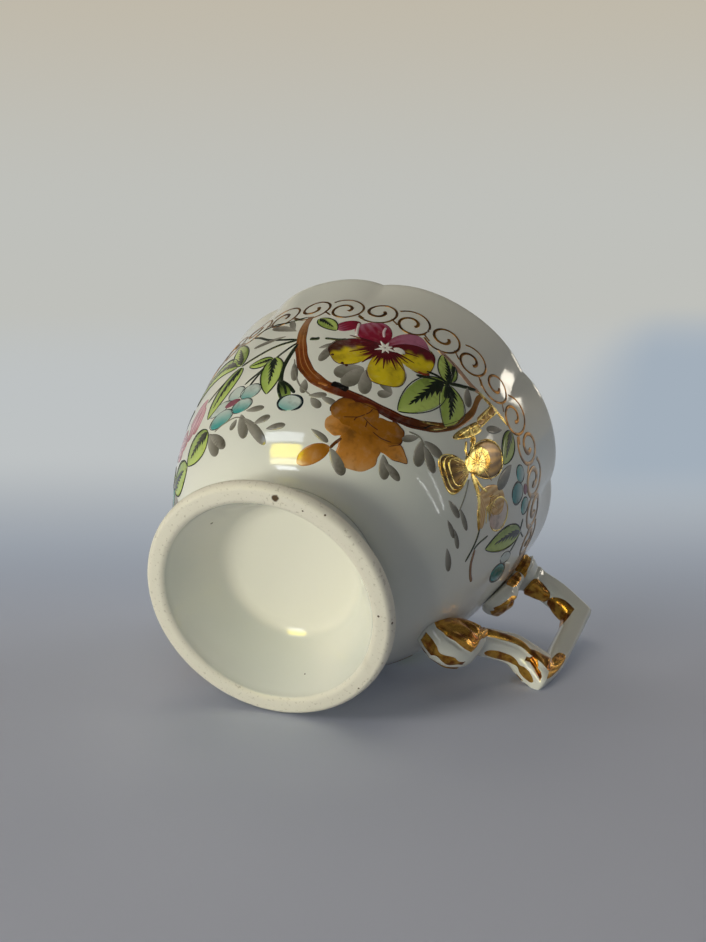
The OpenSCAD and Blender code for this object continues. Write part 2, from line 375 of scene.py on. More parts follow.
def lobe_dip(angle):
    """0 in the middle of a lobe and 1 at the notches, by the angle in degrees."""
    b = np.mod(angle - LOBE_START, PAIR_ANGLE)
    wide = 2 * b / WIDE_ANGLE - 1
    narrow = 2 * (b - WIDE_ANGLE) / (PAIR_ANGLE - WIDE_ANGLE) - 1
    return np.abs(np.where(b < WIDE_ANGLE, wide, narrow)) ** LOBE_POWER


def notch_at(z, angle):
    """How far the wall is pressed in at a height and an angle."""
    return NOTCH_DEPTH * soft_step(1 - (CUP_H - z) / NOTCH_FADE) * lobe_dip(angle)


def wall_out(z, angle):
    return outer_r(z) - notch_at(z, angle)


def wall_in(z, angle):
    return inner_r(z) - notch_at(z, angle)


mouth = 2 * float(outer_r(CUP_H))
print("mouth", round(mouth, 1), "mm across, wall from", round(FOOT_H, 1), "to", round(CUP_H, 1))

# %% [markdown]
# ## A turning tool in Geometry Nodes
# A potter's wheel turns one profile into a whole round piece, and the bowl and the foot are both made that
# way. A Screw modifier would do for the foot. The lobes ask for more, so a small tree lays a grid, gives
# each column its angle and each row its point of the profile, and presses the notches in near the rim.

# %% Turning tool
STEPS_AROUND = 200
SEAM_MERGE = 1e-6


def xyz(tree, **parts):
    """A vector put together from its X, Y and Z."""
    return add(tree, "ShaderNodeCombineXYZ", parts).outputs[0]


def shape(tree, kind, inputs=None):
    """The first output of a new geometry node."""
    return add(tree, "GeometryNode" + kind, inputs).outputs[0]


def finish_tree(tree, geometry, material, out):
    """Ends a geometry tree: smooth, plain geometry with its material."""
    smooth = shape(tree, "SetShadeSmooth", {"Geometry": geometry})
    plain = shape(tree, "RealizeInstances", {"Geometry": smooth})
    done = shape(tree, "SetMaterial", {"Geometry": plain, "Material": material})
    tree.links.new(done, out.inputs[0])


def turning_tree():
    tree, given, out = new_tree("Turned and lobed piece", "GeometryNodeTree", [
        ("Profile", "shape", None), ("Steps Around", "count", STEPS_AROUND), ("Start Angle", "number", 0.0),
        ("Rim Height", "number", 0.08), ("Notch Depth", "number", 0.0), ("Notch Fade", "number", 0.02),
        ("Pair Angle", "number", 1.5), ("Wide Angle", "number", 0.9), ("Lobe Power", "number", 3.0),
        ("Finish", "material", None)], [("Piece", "shape")])
    domain = add(tree, "GeometryNodeAttributeDomainSize", {"Geometry": given["Profile"]})
    rows = domain.outputs["Point Count"]
    columns = calc(tree, "ADD", given["Steps Around"], 1)
    grid = shape(tree, "MeshGrid", {"Vertices X": columns, "Vertices Y": rows})
    index = shape(tree, "InputIndex")
    column = calc(tree, "FLOOR", calc(tree, "DIVIDE", index, rows))
    row = calc(tree, "MODULO", index, rows)
    wanted = {"Geometry": given["Profile"], "Value": shape(tree, "InputPosition"), "Index": row}
    sample = add(tree, "GeometryNodeSampleIndex", wanted, data_type="FLOAT_VECTOR")
    profile = add(tree, "ShaderNodeSeparateXYZ", {0: sample.outputs[0]}).outputs
    turn = calc(tree, "MULTIPLY", column, calc(tree, "DIVIDE", math.tau, given["Steps Around"]))
    within = calc(tree, "MODULO", turn, given["Pair Angle"])
    narrow_angle = calc(tree, "SUBTRACT", given["Pair Angle"], given["Wide Angle"])
    past_wide = calc(tree, "SUBTRACT", within, given["Wide Angle"])
    in_narrow = calc(tree, "GREATER_THAN", past_wide, 0.0)
    wide_share = calc(tree, "DIVIDE", within, given["Wide Angle"])
    narrow_share = calc(tree, "DIVIDE", past_wide, narrow_angle)
    share = add(tree, "ShaderNodeMix", {0: in_narrow, 2: wide_share, 3: narrow_share}).outputs[0]
    from_middle = calc(tree, "ABSOLUTE", calc(tree, "MULTIPLY_ADD", share, 2.0, -1.0))
    dip = calc(tree, "POWER", from_middle, given["Lobe Power"])
    low = calc(tree, "SUBTRACT", given["Rim Height"], given["Notch Fade"])
    press = calc(tree, "MULTIPLY", fade(tree, profile["Z"], low, given["Rim Height"]), given["Notch Depth"])
    radius = calc(tree, "SUBTRACT", profile["X"], calc(tree, "MULTIPLY", press, dip))
    angle = calc(tree, "ADD", turn, given["Start Angle"])
    place = xyz(tree, X=calc(tree, "MULTIPLY", radius, calc(tree, "COSINE", angle)),
                Y=calc(tree, "MULTIPLY", radius, calc(tree, "SINE", angle)), Z=profile["Z"])
    turned = shape(tree, "SetPosition", {"Geometry": grid, "Position": place})
    closed = shape(tree, "MergeByDistance", {"Geometry": turned, "Distance": SEAM_MERGE})
    finish_tree(tree, closed, given["Finish"], out)
    return tree


TURNING = turning_tree()
print("turning tool has", len(TURNING.nodes), "nodes")


# %% Pieces from the tool
def apply_tree(obj, tree, values):
    """Runs a tree on an object with these inputs and keeps the result as its plain mesh."""
    modifier = obj.modifiers.new(tree.name, "NODES")
    modifier.node_group = tree
    for item in tree.interface.items_tree:
        if item.in_out == "INPUT" and item.name in values:
            modifier[item.identifier] = values[item.name]
    depsgraph = bpy.context.evaluated_depsgraph_get()
    mesh = bpy.data.meshes.new_from_object(obj.evaluated_get(depsgraph), depsgraph=depsgraph)
    obj.modifiers.clear()
    obj.data = mesh
    mesh.name = obj.name
    return obj


def new_piece(name, points, faces, edges=()):
    """A mesh object at the origin, from points in millimetres."""
    mesh = bpy.data.meshes.new(name)
    mesh.from_pydata((np.asarray(points, float) * MM).tolist(), list(edges), faces)
    piece = bpy.data.objects.new(name, mesh)
    scene.collection.objects.link(piece)
    return piece


def turn_profile(name, profile, material, lobed):
    """A turned piece from a closed profile of (radius, height) points in millimetres."""
    points = [(r, 0, z) for r, z in profile]
    piece = new_piece(name, points, [], [(i, i + 1) for i in range(len(points) - 1)])
    return apply_tree(piece, TURNING, {
        "Steps Around": STEPS_AROUND, "Start Angle": math.radians(LOBE_START), "Rim Height": CUP_H * MM,
        "Notch Depth": NOTCH_DEPTH * MM if lobed else 0.0, "Notch Fade": NOTCH_FADE * MM,
        "Pair Angle": math.radians(PAIR_ANGLE), "Wide Angle": math.radians(WIDE_ANGLE),
        "Lobe Power": LOBE_POWER, "Finish": material})


print("pieces are turned in", STEPS_AROUND, "steps")

# %% [markdown]
# ## Finishes
# Old porcelain is never one white. The glaze pools a little warmer here and cooler there, carries a few dark
# kiln specks and has a faint ripple that bends reflections. Gold laid on it with a brush goes thin, shows
# brown and wears through. Both effects come up on several pieces, so each is a shader node group, built once
# and placed with its own values. An image texture would be quicker, but it would have a fixed grain.


# %% Glaze group
def glaze_group():
    tree, given, out = new_tree("Glaze skin", "ShaderNodeTree", [
        ("Clay", "colour", tone("#e9e8de")), ("Pooled Glaze", "colour", tone("#dee0d7")),
        ("Speck", "colour", tone("#5d5140")), ("Speck Share", "number", 0.006), ("Ripple", "number", 1.0)],
        [("Colour", "colour"), ("Roughness", "number"), ("Height", "number")])
    place = object_place(tree)
    pooled = fade(tree, noise(tree, place, 38.0), 0.3, 0.7)
    body = mix_colour(tree, pooled, given["Clay"], given["Pooled Glaze"])
    cells = add(tree, "ShaderNodeTexVoronoi", {"Vector": place, "Scale": 330.0})
    picked = add(tree, "ShaderNodeSeparateColor", {0: cells.outputs["Color"]}).outputs
    few = calc(tree, "LESS_THAN", picked["Red"], given["Speck Share"])
    spot = calc(tree, "SUBTRACT", 1.0, fade(tree, cells.outputs["Distance"], 0.06, 0.13))
    specked = mix_colour(tree, calc(tree, "MULTIPLY", few, spot), body, given["Speck"])
    tree.links.new(specked, out.inputs["Colour"])
    smear = noise(tree, place, 90.0, 3.0)
    tree.links.new(calc(tree, "MULTIPLY_ADD", smear, 0.09, 0.03), out.inputs["Roughness"])
    ripple = calc(tree, "MULTIPLY", noise(tree, place, 75.0, 1.0), given["Ripple"])
    tree.links.new(ripple, out.inputs["Height"])
    return tree


GLAZE = glaze_group()
print("shared finish:", GLAZE.name)


# %% Gold group
def gold_group():
    tree, given, out = new_tree("Worn gold", "ShaderNodeTree", [
        ("Bright", "colour", tone("#d9a648")), ("Thin", "colour", tone("#8a4f1c")), ("Wear", "number", 0.3)],
        [("Colour", "colour"), ("Cover", "number"), ("Roughness", "number"), ("Height", "number")])
    place = object_place(tree)
    brushed = noise(tree, place, 520.0, 4.0)
    tree.links.new(mix_colour(tree, fade(tree, brushed, 0.34, 0.62), given["Thin"], given["Bright"]),
                   out.inputs["Colour"])
    patches = calc(tree, "MULTIPLY_ADD", noise(tree, place, 260.0, 5.0), 0.7,
                   calc(tree, "MULTIPLY", noise(tree, place, 1500.0, 2.0), 0.3))
    edge = calc(tree, "ADD", given["Wear"], 0.06)
    tree.links.new(fade(tree, patches, given["Wear"], edge), out.inputs["Cover"])
    tree.links.new(calc(tree, "MULTIPLY_ADD", brushed, 0.22, 0.1), out.inputs["Roughness"])
    tree.links.new(brushed, out.inputs["Height"])
    return tree


GOLD = gold_group()
print("shared finish:", GOLD.name)


# %% Materials
def new_material(name):
    """An empty material, its tree, and its Principled BSDF joined to the output."""
    mat = bpy.data.materials.new(name)
    mat.use_nodes = True
    tree = mat.node_tree
    tree.nodes.clear()
    skin = add(tree, "ShaderNodeBsdfPrincipled")
    add(tree, "ShaderNodeOutputMaterial", {"Surface": skin.outputs[0]})
    return mat, tree, skin


def place_group(tree, group, values=None):
    """A shader group in a material, with its own values."""
    node = tree.nodes.new("ShaderNodeGroup")
    node.node_tree = group
    for name, value in (values or {}).items():
        node.inputs[name].default_value = value
    return node.outputs


def bump(tree, height, depth_mm):
    """A Bump node's normal, for a height of so many millimetres."""
    raised = {"Height": height, "Distance": depth_mm * MM, "Strength": 1.0}
    return add(tree, "ShaderNodeBump", raised).outputs[0]


def join(tree, skin, **inputs):
    """Joins outputs to the Principled BSDF, with _ for the spaces in a socket's name."""
    for name, socket in inputs.items():
        tree.links.new(socket, skin.inputs[name.replace("_", " ")])


print("materials can place", GLAZE.name, "and", GOLD.name)


# %% Porcelain
def porcelain_material():
    mat, tree, skin = new_material("glazed_porcelain")
    glaze = place_group(tree, GLAZE)
    join(tree, skin, Base_Color=glaze["Colour"], Roughness=glaze["Roughness"],
         Normal=bump(tree, glaze["Height"], 0.06))
    return mat


PORCELAIN = porcelain_material()
print(PORCELAIN.name, "has", len(PORCELAIN.node_tree.nodes), "nodes")

# %% Porcelain of the foot
KILN_BROWN = tone("#54402a")
KILN_SPOTS = [(-9.8, -23.1, 0.0, 0.85), (0.0, -26.3, 0.3, 0.26), (-4.0, -24.3, 0.0, 0.22),
              (-18.8, -3.2, 8.0, 0.4), (22.7, -14.0, 0.9, 0.32), (19.7, -14.1, 0.0, 0.28),
              (25.3, 3.7, 0.0, 0.22), (15.0, 13.6, 5.6, 0.2)]


def foot_material():
    """Glaze with painted light and cream on the base, rubbed to bare matt clay on the standing ring, a few
    kiln spots.
    """
    mat, tree, skin = new_material("foot_porcelain")
    glaze = place_group(tree, GLAZE, {"Speck Share": 0.004})
    place = object_place(tree)
    height = add(tree, "ShaderNodeSeparateXYZ", {0: place}).outputs["Z"]
    flat = calc_vector(tree, "MULTIPLY", place, (1, 1, 0))
    radius = add(tree, "ShaderNodeVectorMath", {0: flat}, operation="LENGTH").outputs["Value"]
    wander = calc(tree, "MULTIPLY_ADD", noise(tree, place, 160.0, 3.0), 0.8 * MM, -0.4 * MM)
    limit = calc(tree, "MULTIPLY_ADD", fade(tree, radius, 23.2 * MM, 26 * MM), 1.9 * MM, 0.5 * MM)
    over = calc(tree, "SUBTRACT", calc(tree, "ADD", height, wander), limit)
    bare = calc(tree, "SUBTRACT", 1.0, fade(tree, over, -0.3 * MM, 0.5 * MM))
    grit = fade(tree, noise(tree, place, 1400.0, 3.0), 0.58, 0.75)
    stain = fade(tree, noise(tree, place, 70.0, 4.0), 0.62, 0.78)
    clay = mix_colour(tree, grit, tone("#e8e3d4"), tone("#c6bfae"))
    clay = mix_colour(tree, calc(tree, "MULTIPLY", stain, 0.3), clay, tone("#9c8a6c"))
    # The base disc is tinted lighter and creamier: partly the glaze's own cream, partly painted light on the
    # disc.
    cream_and_painted_light = calc(tree, "MULTIPLY", fade(tree, height, 12.6 * MM, 14.4 * MM),
                   fade(tree, radius, 17 * MM, 14.6 * MM))
    glazed = mix_colour(tree, cream_and_painted_light, glaze["Colour"], tone("#f4f1e3"))
    ground = mix_colour(tree, bare, glazed, clay)
    for x, y, z, size in KILN_SPOTS:
        away = calc_vector(tree, "DISTANCE", place, (x * MM, y * MM, z * MM))
        ragged = calc(tree, "MULTIPLY_ADD", noise(tree, place, 1900.0), 0.5 * size * MM, away)
        within = fade(tree, ragged, 1.3 * size * MM, 0.9 * size * MM)
        ground = mix_colour(tree, within, ground, KILN_BROWN)
    pitted = calc(tree, "MULTIPLY_ADD", calc(tree, "MULTIPLY", grit, bare), -1.0, glaze["Height"])
    join(tree, skin, Base_Color=ground, Normal=bump(tree, pitted, 0.05),
         Roughness=calc(tree, "MULTIPLY_ADD", bare, 0.55, glaze["Roughness"]))
    return mat


FOOT_CLAY = foot_material()
print(FOOT_CLAY.name, "has", len(FOOT_CLAY.node_tree.nodes), "nodes")


# %% Porcelain of the handle
def handle_material():
    """Glaze, with gold wherever the attribute gilt is above zero."""
    mat, tree, skin = new_material("gilded_porcelain")
    glaze = place_group(tree, GLAZE, {"Ripple": 0.5})
    gold = place_group(tree, GOLD, {"Wear": 0.24})
    place = object_place(tree)
    field = add(tree, "ShaderNodeAttribute", attribute_name="gilt").outputs["Fac"]
    wander = calc(tree, "MULTIPLY_ADD", noise(tree, place, 420.0, 2.0), 0.3, -0.15)
    painted = fade(tree, calc(tree, "ADD", field, wander), -0.04, 0.04)
    cover = calc(tree, "MULTIPLY", painted, gold["Cover"])
    rough = add(tree, "ShaderNodeMix", {0: cover, 2: glaze["Roughness"], 3: gold["Roughness"]}).outputs[0]
    join(tree, skin, Base_Color=mix_colour(tree, cover, glaze["Colour"], gold["Colour"]),
         Metallic=calc(tree, "MULTIPLY", cover, 0.76), Roughness=rough,
         Normal=bump(tree, glaze["Height"], 0.05))
    return mat


HANDLE_GLAZE = handle_material()
print(HANDLE_GLAZE.name, "has", len(HANDLE_GLAZE.node_tree.nodes), "nodes")

# %% [markdown]
# ## Bowl and foot
# Both profiles run once round the cut clay, like a section drawn through the wall: up the outside, over the
# rounded lip and down the inside. The rows stand closer where the form turns fast. The foot's hollow runs
# into the flat base with a soft fillet, as a wet sponge leaves it.

# %% Bowl
WALL_ROWS = 80
ROW_SPREAD = 1.5
SEAM_ROW = SEAM_R - 0.3


def bowl_profile():
    lip_z = CUP_H - RIM_T / 2
    lip_r = float(outer_r(lip_z))
    up = np.linspace(0, 1, WALL_ROWS) ** ROW_SPREAD
    outside = [(float(outer_r(z)), z) for z in FOOT_H + (lip_z - FOOT_H) * up]
    over = np.radians(np.arange(15, 180, 15))
    lip = [(lip_r - RIM_T / 2 * (1 - math.cos(t)), lip_z + RIM_T / 2 * math.sin(t)) for t in over]
    inside = [(float(inner_r(z)), z) for z in FLOOR_Z + (lip_z - FLOOR_Z) * up[::-1]]
    underside = [(r, FOOT_H) for r in (0.0, 8.0, 16.0, SEAM_ROW)]
    floor_rows = [(r, FLOOR_Z) for r in (INSIDE_FLOOR_R - 1.0, 12.0, 6.0, 0.0)]
    return underside + outside + lip + inside + floor_rows


def finish_piece(piece, node):
    """Rides a piece on the cup, in the place of a solid."""
    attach(piece, "root")
    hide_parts(node)
    return piece


bowl = finish_piece(turn_profile("bowl_porcelain", bowl_profile(), PORCELAIN, True), "bowl")
print("bowl:", len(bowl.data.polygons), "faces")

# %% Foot
FOOT_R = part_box("foot")[1].x / MM
RING_W = 4.4
STAND_W = 1.6
RING_ROUND = 2.2
HOLLOW_R = 15.4
FLANK_POWER = 2.2
FILLET = 2.6
BASE_SKIN = 0.12


def foot_profile():
    ring_in = FOOT_R - RING_W
    stand_in = FOOT_R - (RING_W + STAND_W) / 2
    stand_out = stand_in + STAND_W
    base_z = FOOT_H - BASE_SKIN
    wall_foot = np.array([ring_in, RING_ROUND / 2])
    wall_top = np.array([HOLLOW_R, base_z])
    slope = (wall_foot - wall_top) / np.linalg.norm(wall_foot - wall_top)
    bend_start = wall_top - np.array([FILLET, 0])
    bend_end = wall_top + slope * FILLET
    disc = [(r, base_z) for r in np.linspace(0, bend_start[0], 8)[:-1]]
    fillet = [tuple((1 - t) ** 2 * bend_start + 2 * t * (1 - t) * wall_top + t * t * bend_end)
              for t in np.linspace(0, 1, 12)]
    wall = [tuple(bend_end + (wall_foot - bend_end) * t) for t in np.linspace(0, 1, 14)[1:]]
    inner_round = [(stand_in + (stand_in - ring_in) * math.cos(t), RING_ROUND / 2 * (1 + math.sin(t)))
                   for t in np.radians(np.arange(190, 271, 10))]
    outer_round = [(stand_out + (FOOT_R - stand_out) * math.cos(t), RING_ROUND * (1 + math.sin(t)))
                   for t in np.radians(np.arange(-90, 0, 10))]
    flank = [(SEAM_R + (FOOT_R - SEAM_R) * (1 - v) ** FLANK_POWER, RING_ROUND + (FOOT_H - RING_ROUND) * v)
             for v in np.linspace(0, 1, 30)]
    top = [(r, FOOT_H) for r in (SEAM_ROW, 8.0, 0.0)]
    return disc + fillet + wall + inner_round + outer_round + flank + top


foot = finish_piece(turn_profile("foot_porcelain", foot_profile(), FOOT_CLAY, False),
                    "foot")
print("foot:", len(foot.data.polygons), "faces")

# %% [markdown]
# ## The moustache guard
# A curved ledge crosses the drinker's side just under the rim, with a slit at the wall to drink through. It
# could be cut from the bowl with a Boolean, but on the real cup it is a slab of clay, cut to shape and luted
# in. So its outline is drawn first, as arcs, and then given a thickness and a rounded edge.

# %% Guard
GUARD_DEPTH = 26.0
GUARD_T = 2.4
GUARD_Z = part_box("moustache_guard")[0].z / MM
GUARD_EDGE_R = 60.0
SLOT_W = 30.0
SLOT_DEPTH = 7.0
LUTE_GAP = 0.08
EDGE_ROUND = 0.9
EDGE_STEPS = 4
GUARD_SHARP = 40


def guard_wall(angle):
    """A point of the guard's outline on the wall, at an angle in degrees."""
    r = float(wall_in(GUARD_Z, angle)) - LUTE_GAP
    return r * math.cos(math.radians(angle)), r * math.sin(math.radians(angle))


def crossing(low, high, test):
    """The angle between low and high where test turns from true to false."""
    for _ in range(40):
        middle = (low + high) / 2
        low, high = (middle, high) if test(guard_wall(middle)) else (low, middle)
    return low


def guard_outline():
    """Right half of the outline from the slot's middle to the free edge's middle, then the left half."""
    wall_r = float(inner_r(GUARD_Z))
    edge_y = GUARD_DEPTH - wall_r
    cap_x = SLOT_W / 2 - SLOT_DEPTH
    slot_end = crossing(-89, -45, lambda p: math.hypot(max(p[0] - cap_x, 0), p[1] + wall_r) < SLOT_DEPTH)
    edge_end = crossing(-45, 60, lambda p: math.hypot(p[0], p[1] - edge_y - GUARD_EDGE_R) > GUARD_EDGE_R)
    start = guard_wall(slot_end)
    cap_turn = math.degrees(math.atan2(start[1] + wall_r, start[0] - cap_x))
    cap = [(cap_x + SLOT_DEPTH * math.cos(t), SLOT_DEPTH * math.sin(t) - wall_r)
           for t in np.radians(np.linspace(90, cap_turn, 14))]
    along_wall = [guard_wall(a) for a in np.linspace(slot_end, edge_end, 60)]
    end = along_wall[-1]
    edge_turn = math.degrees(math.asin(end[0] / GUARD_EDGE_R))
    edge = [(GUARD_EDGE_R * math.sin(t), edge_y + GUARD_EDGE_R * (1 - math.cos(t)))
            for t in np.radians(np.linspace(edge_turn, 0, 26))]
    right = cap[:-1] + along_wall + edge[1:]
    return right + [(-x, y) for x, y in right[-2:0:-1]]


def make_guard():
    """The outline as a slab with rounded edges."""
    outline = guard_outline()
    n = len(outline)
    piece = new_piece("moustache_guard_porcelain", [(x, y, GUARD_Z) for x, y in outline], [tuple(range(n))])
    form = bmesh.new()
    form.from_mesh(piece.data)
    lifted = bmesh.ops.extrude_face_region(form, geom=form.faces[:])["geom"]
    bmesh.ops.translate(form, verts=[g for g in lifted if isinstance(g, bmesh.types.BMVert)],
                        vec=(0, 0, GUARD_T * MM))
    bmesh.ops.recalc_face_normals(form, faces=form.faces[:])
    rims = [e for e in form.edges if abs(e.verts[0].co.z - e.verts[1].co.z) < 1e-6]
    bmesh.ops.bevel(form, geom=rims, offset=EDGE_ROUND * MM, segments=EDGE_STEPS, profile=0.5,
                    affect="EDGES")
    bmesh.ops.triangulate(form, faces=[f for f in form.faces if len(f.verts) > 4])
    form.to_mesh(piece.data)
    form.free()
    piece.data.shade_smooth()
    piece.data.set_sharp_from_angle(angle=math.radians(GUARD_SHARP))
    piece.data.materials.append(PORCELAIN)
    return finish_piece(piece, "moustache_guard")


guard = make_guard()
print("guard:", len(guard.data.polygons), "faces")

# %% [markdown]
# ## The handle
# The handle is a rustic branch, squared like a bent twig, with a scroll at each end, a leaf under the upper
# one and a clawed elbow. It is cast in one mould, and the solids split it at its members. Each member is a
# loft: rounded sections run between key sections, exactly where the solid has them, and a small relief is
# pressed on top: ridges, scoops and grooves. The same two numbers that place the relief, how far along the
# member and how far round it from its outer edge, also say where the gold goes.

# %% Handle sections
AROUND = 144
SECTION_POWER = 0.72
BULB_POWER = 0.96
RUN_STEPS = 26
TURNS = np.arange(AROUND) * 360 / AROUND
FROM_OUTER = np.abs(np.mod(TURNS + 90, 360) - 180)
SIDE = np.cos(np.radians(TURNS))
OUTWARD = np.sin(np.radians(TURNS))


def rounded(t, power=SECTION_POWER):
    """A sine or cosine, bent so that a circle becomes a rounded oblong."""
    return np.sign(t) * np.abs(t) ** power


def section(key, power):
    """A ring of points between an outer and an inner point of the side view, (x, z, x, z, width)."""
    outer, inner, width = np.array(key[0:2]), np.array(key[2:4]), key[4]
    ring = (outer + inner) / 2 + np.outer(rounded(OUTWARD, power), (outer - inner) / 2)
    return np.column_stack([ring[:, 0], width / 2 * rounded(SIDE, power), ring[:, 1]])


def between(a, b, c, d, t):
    """A share t of the way from b to c, on a smooth curve that passes a before them and d after."""
    return (2 * b + (c - a) * t + (2 * a - 5 * b + 4 * c - d) * t ** 2
            + (3 * b - a - 3 * c + d) * t ** 3) / 2


def run(keys):
    """Keys at even shares of a smooth curve through the given ones."""
    keys = [np.array(k, float) for k in keys]
    last = len(keys) - 1
    rows = []
    for i in range(last):
        a, b, c, d = keys[max(0, i - 1)], keys[i], keys[i + 1], keys[min(last, i + 2)]
        rows += [between(a, b, c, d, t) for t in np.arange(RUN_STEPS) / RUN_STEPS]
    return rows + [keys[last]]


def on_wall(y, z, out=0.0):
    """Points that stand out from the bowl's outer wall, at the side and height given."""
    r = wall_out(z, np.degrees(np.arcsin(y / outer_r(z)))) + LUTE_GAP
    return np.column_stack([np.sqrt(r * r - y * y) + out, y, np.broadcast_to(z, np.shape(y))])


def root(mid_z, depth, width):
    """A rounded oblong laid on the wall."""
    return on_wall(width / 2 * rounded(SIDE), mid_z + depth / 2 * rounded(OUTWARD))


def ease_rings(first, second, count):
    """Rings between two rings, without the last."""
    return [first + (second - first) * t for t in np.arange(count) / count]


print("handle sections:", AROUND, "points round")

# %% Handle sizes
ARM_DEPTH = 7.4
ARM_W = 5.6
BACK_DEPTH = 5.2
COLLAR_LEN = 4.6
SPUR_INSET = 6.2
ELBOW_DEPTH = 11.9
SCROLL_W = 8.8
SCROLL_DEPTH = 12.8
SCROLL_REACH = 11.0
ROOT_SHARE = 0.85
SCROLL_SEAT = 0.64
ARM_DROP = 5.8
HANDLE_REACH = 22.2
SPUR_RISE = 15.4
SCROLL_RISE = 11.6
ARM_TOP = CUP_H - ARM_DROP
ARM_LOW = ARM_TOP - ARM_DEPTH
ARM_MID = (ARM_TOP + ARM_LOW) / 2
WALL_X = float(outer_r(ARM_MID))
CORNER_X = WALL_X + HANDLE_REACH
COLLAR_X = WALL_X + COLLAR_LEN
COLLAR_LIP = ARM_DEPTH / 10
BACK_X = CORNER_X - BACK_DEPTH
SPUR_X = CORNER_X - SPUR_INSET
SPUR_Z = FOOT_H + SPUR_RISE
INSIDE_Z = SPUR_Z + ELBOW_DEPTH
SCROLL_Z = FOOT_H + SCROLL_RISE
SCROLL_X = float(outer_r(SCROLL_Z))
ELBOW_W = ARM_W * 1.12


def scroll_at(out_low, low, out_top, top, width):
    """A key section of the lower scroll, in shares of its reach and depth."""
    return (SCROLL_X + SCROLL_REACH * out_low, SCROLL_Z + SCROLL_DEPTH * low,
            SCROLL_X + SCROLL_REACH * out_top, SCROLL_Z + SCROLL_DEPTH * top, width)


collar = (COLLAR_X, ARM_TOP + COLLAR_LIP, COLLAR_X, ARM_LOW - COLLAR_LIP, (ARM_W + SCROLL_W) / 2)
corner = (CORNER_X, ARM_TOP - ARM_DEPTH * 0.25,
          BACK_X - BACK_DEPTH * 0.15, ARM_LOW - ARM_DEPTH * 0.2, ARM_W)
elbow = (SPUR_X, SPUR_Z, SPUR_X - SPUR_INSET * 0.2, INSIDE_Z, ELBOW_W)
scroll_end = scroll_at(1, 0.25, 0.82, 0.73, ARM_W)
neck_x = COLLAR_X + COLLAR_LEN / 2
arm_run_x = (COLLAR_X + CORNER_X) / 2
back_mid_z = (corner[1] + INSIDE_Z) / 2
swell_x = (scroll_end[0] + SPUR_X) / 2 - ARM_DEPTH * 0.14
swell_z = SPUR_Z + ELBOW_DEPTH * 0.59
bell_x = WALL_X + COLLAR_LEN * 0.45
KEYS = {
    "upper_scroll": [(bell_x, ARM_TOP + COLLAR_LIP, bell_x, ARM_LOW - 2 * COLLAR_LIP, SCROLL_W), collar],
    "upper_arm": [collar, (neck_x, ARM_TOP, neck_x, ARM_LOW, ARM_W),
                  (arm_run_x, ARM_TOP, arm_run_x - COLLAR_LEN / 4, ARM_LOW, ARM_W), corner],
    "back_bar": [corner, (CORNER_X - BACK_DEPTH * 0.25, back_mid_z, BACK_X - BACK_DEPTH * 0.22, back_mid_z,
                          ARM_W * 0.95),
                 (CORNER_X - SPUR_INSET * 0.5, INSIDE_Z - ELBOW_DEPTH * 0.12, BACK_X - BACK_DEPTH * 0.4,
                  INSIDE_Z + ELBOW_DEPTH * 0.3, ARM_W), elbow],
    "lower_arm": [elbow, (SPUR_X - SPUR_INSET * 0.8, SPUR_Z + ELBOW_DEPTH * 0.2, SPUR_X - SPUR_INSET,
                          INSIDE_Z - ELBOW_DEPTH * 0.05, ELBOW_W),
                  (swell_x, swell_z - ARM_DEPTH / 2,
                   swell_x - ARM_DEPTH * 0.2, swell_z + ARM_DEPTH / 2, ARM_W), scroll_end],
    "lower_scroll": [scroll_at(0.15, -0.54, 0.34, 0.46, SCROLL_W * 0.95),
                     scroll_at(0.55, -0.5, 0.58, 0.56, SCROLL_W),
                     scroll_at(0.9, -0.18, 0.72, 0.65, SCROLL_W * 0.84), scroll_end],
}
print("finger gap", round(BACK_X - WALL_X, 1), "by", round(ARM_LOW - INSIDE_Z, 1), "mm")


# %% Relief helpers
def hill(value, middle, reach):
    """1 at the middle, falling smoothly to 0 at the reach on both sides."""
    return soft_step(1 - np.abs(value - middle) / reach)


def spot(t, round_by, at, across, reach, spread):
    """Above zero inside an oval patch, at a share of the length and an angle from the outer edge."""
    return 1 - ((t - at) / reach) ** 2 - ((round_by - across) / spread) ** 2


def stripe(t, f, stops, half):
    """Above zero within half degrees of a path over the member, given as shares and angles."""
    shares, angles = zip(*stops)
    beside = 1 - np.abs(f - np.interp(t, shares, angles)) / half
    return np.minimum(beside, np.minimum(t - shares[0], shares[-1] - t) * 20)


def inside(t):
    """0 at a member's ends, where it meets the next, and 1 between."""
    return soft_step(np.minimum(t, 1 - t) * 14)


def blunt(t, f, end, share, depth):
    """A negative relief that rounds off the outer edge near a member's end."""
    return -depth * np.clip(1 - np.abs(t - end) / share, 0, 1) ** 2 * hill(f, 0, 75)


print("relief stands on", AROUND, "points round")

# %% Relief of the members
# Each relief rule takes a share along the member and the degrees round it from its outer edge. It gives the
# relief in millimetres and the gold's field, which is above zero where the member is gilt.
COLLAR_CUT = -0.55
CORNER_BLUNT = 0.55
TOE_BLUNT = 0.5


def relief_upper_scroll(t, f):
    ribs = 0.3 * np.cos(t * 6 * math.pi) * hill(t, 0.3, 0.3)
    gold = np.maximum(spot(t, f, 0.12, 112, 0.2, 46), spot(t, f, 0.3, 165, 0.24, 40))
    return ribs * inside(t) + COLLAR_CUT * soft_step((t - 0.5) * 2), gold


def relief_upper_arm(t, f):
    corner_spread = 50 + 36 * np.clip(t - 0.7, 0, 1)
    gold = np.maximum(spot(t, f, 0.28, 180, 0.3, 56), spot(t, f, 0.86, 180, 0.28, corner_spread))
    lobes = 0.65 * soft_step(gold * 1.5)
    edge = 0.25 * hill(f, 62, 22) * hill(t, 0.5, 0.55)
    return lobes + edge + COLLAR_CUT * soft_step(1 - t * 5) + blunt(t, f, 1, 0.12, CORNER_BLUNT), gold


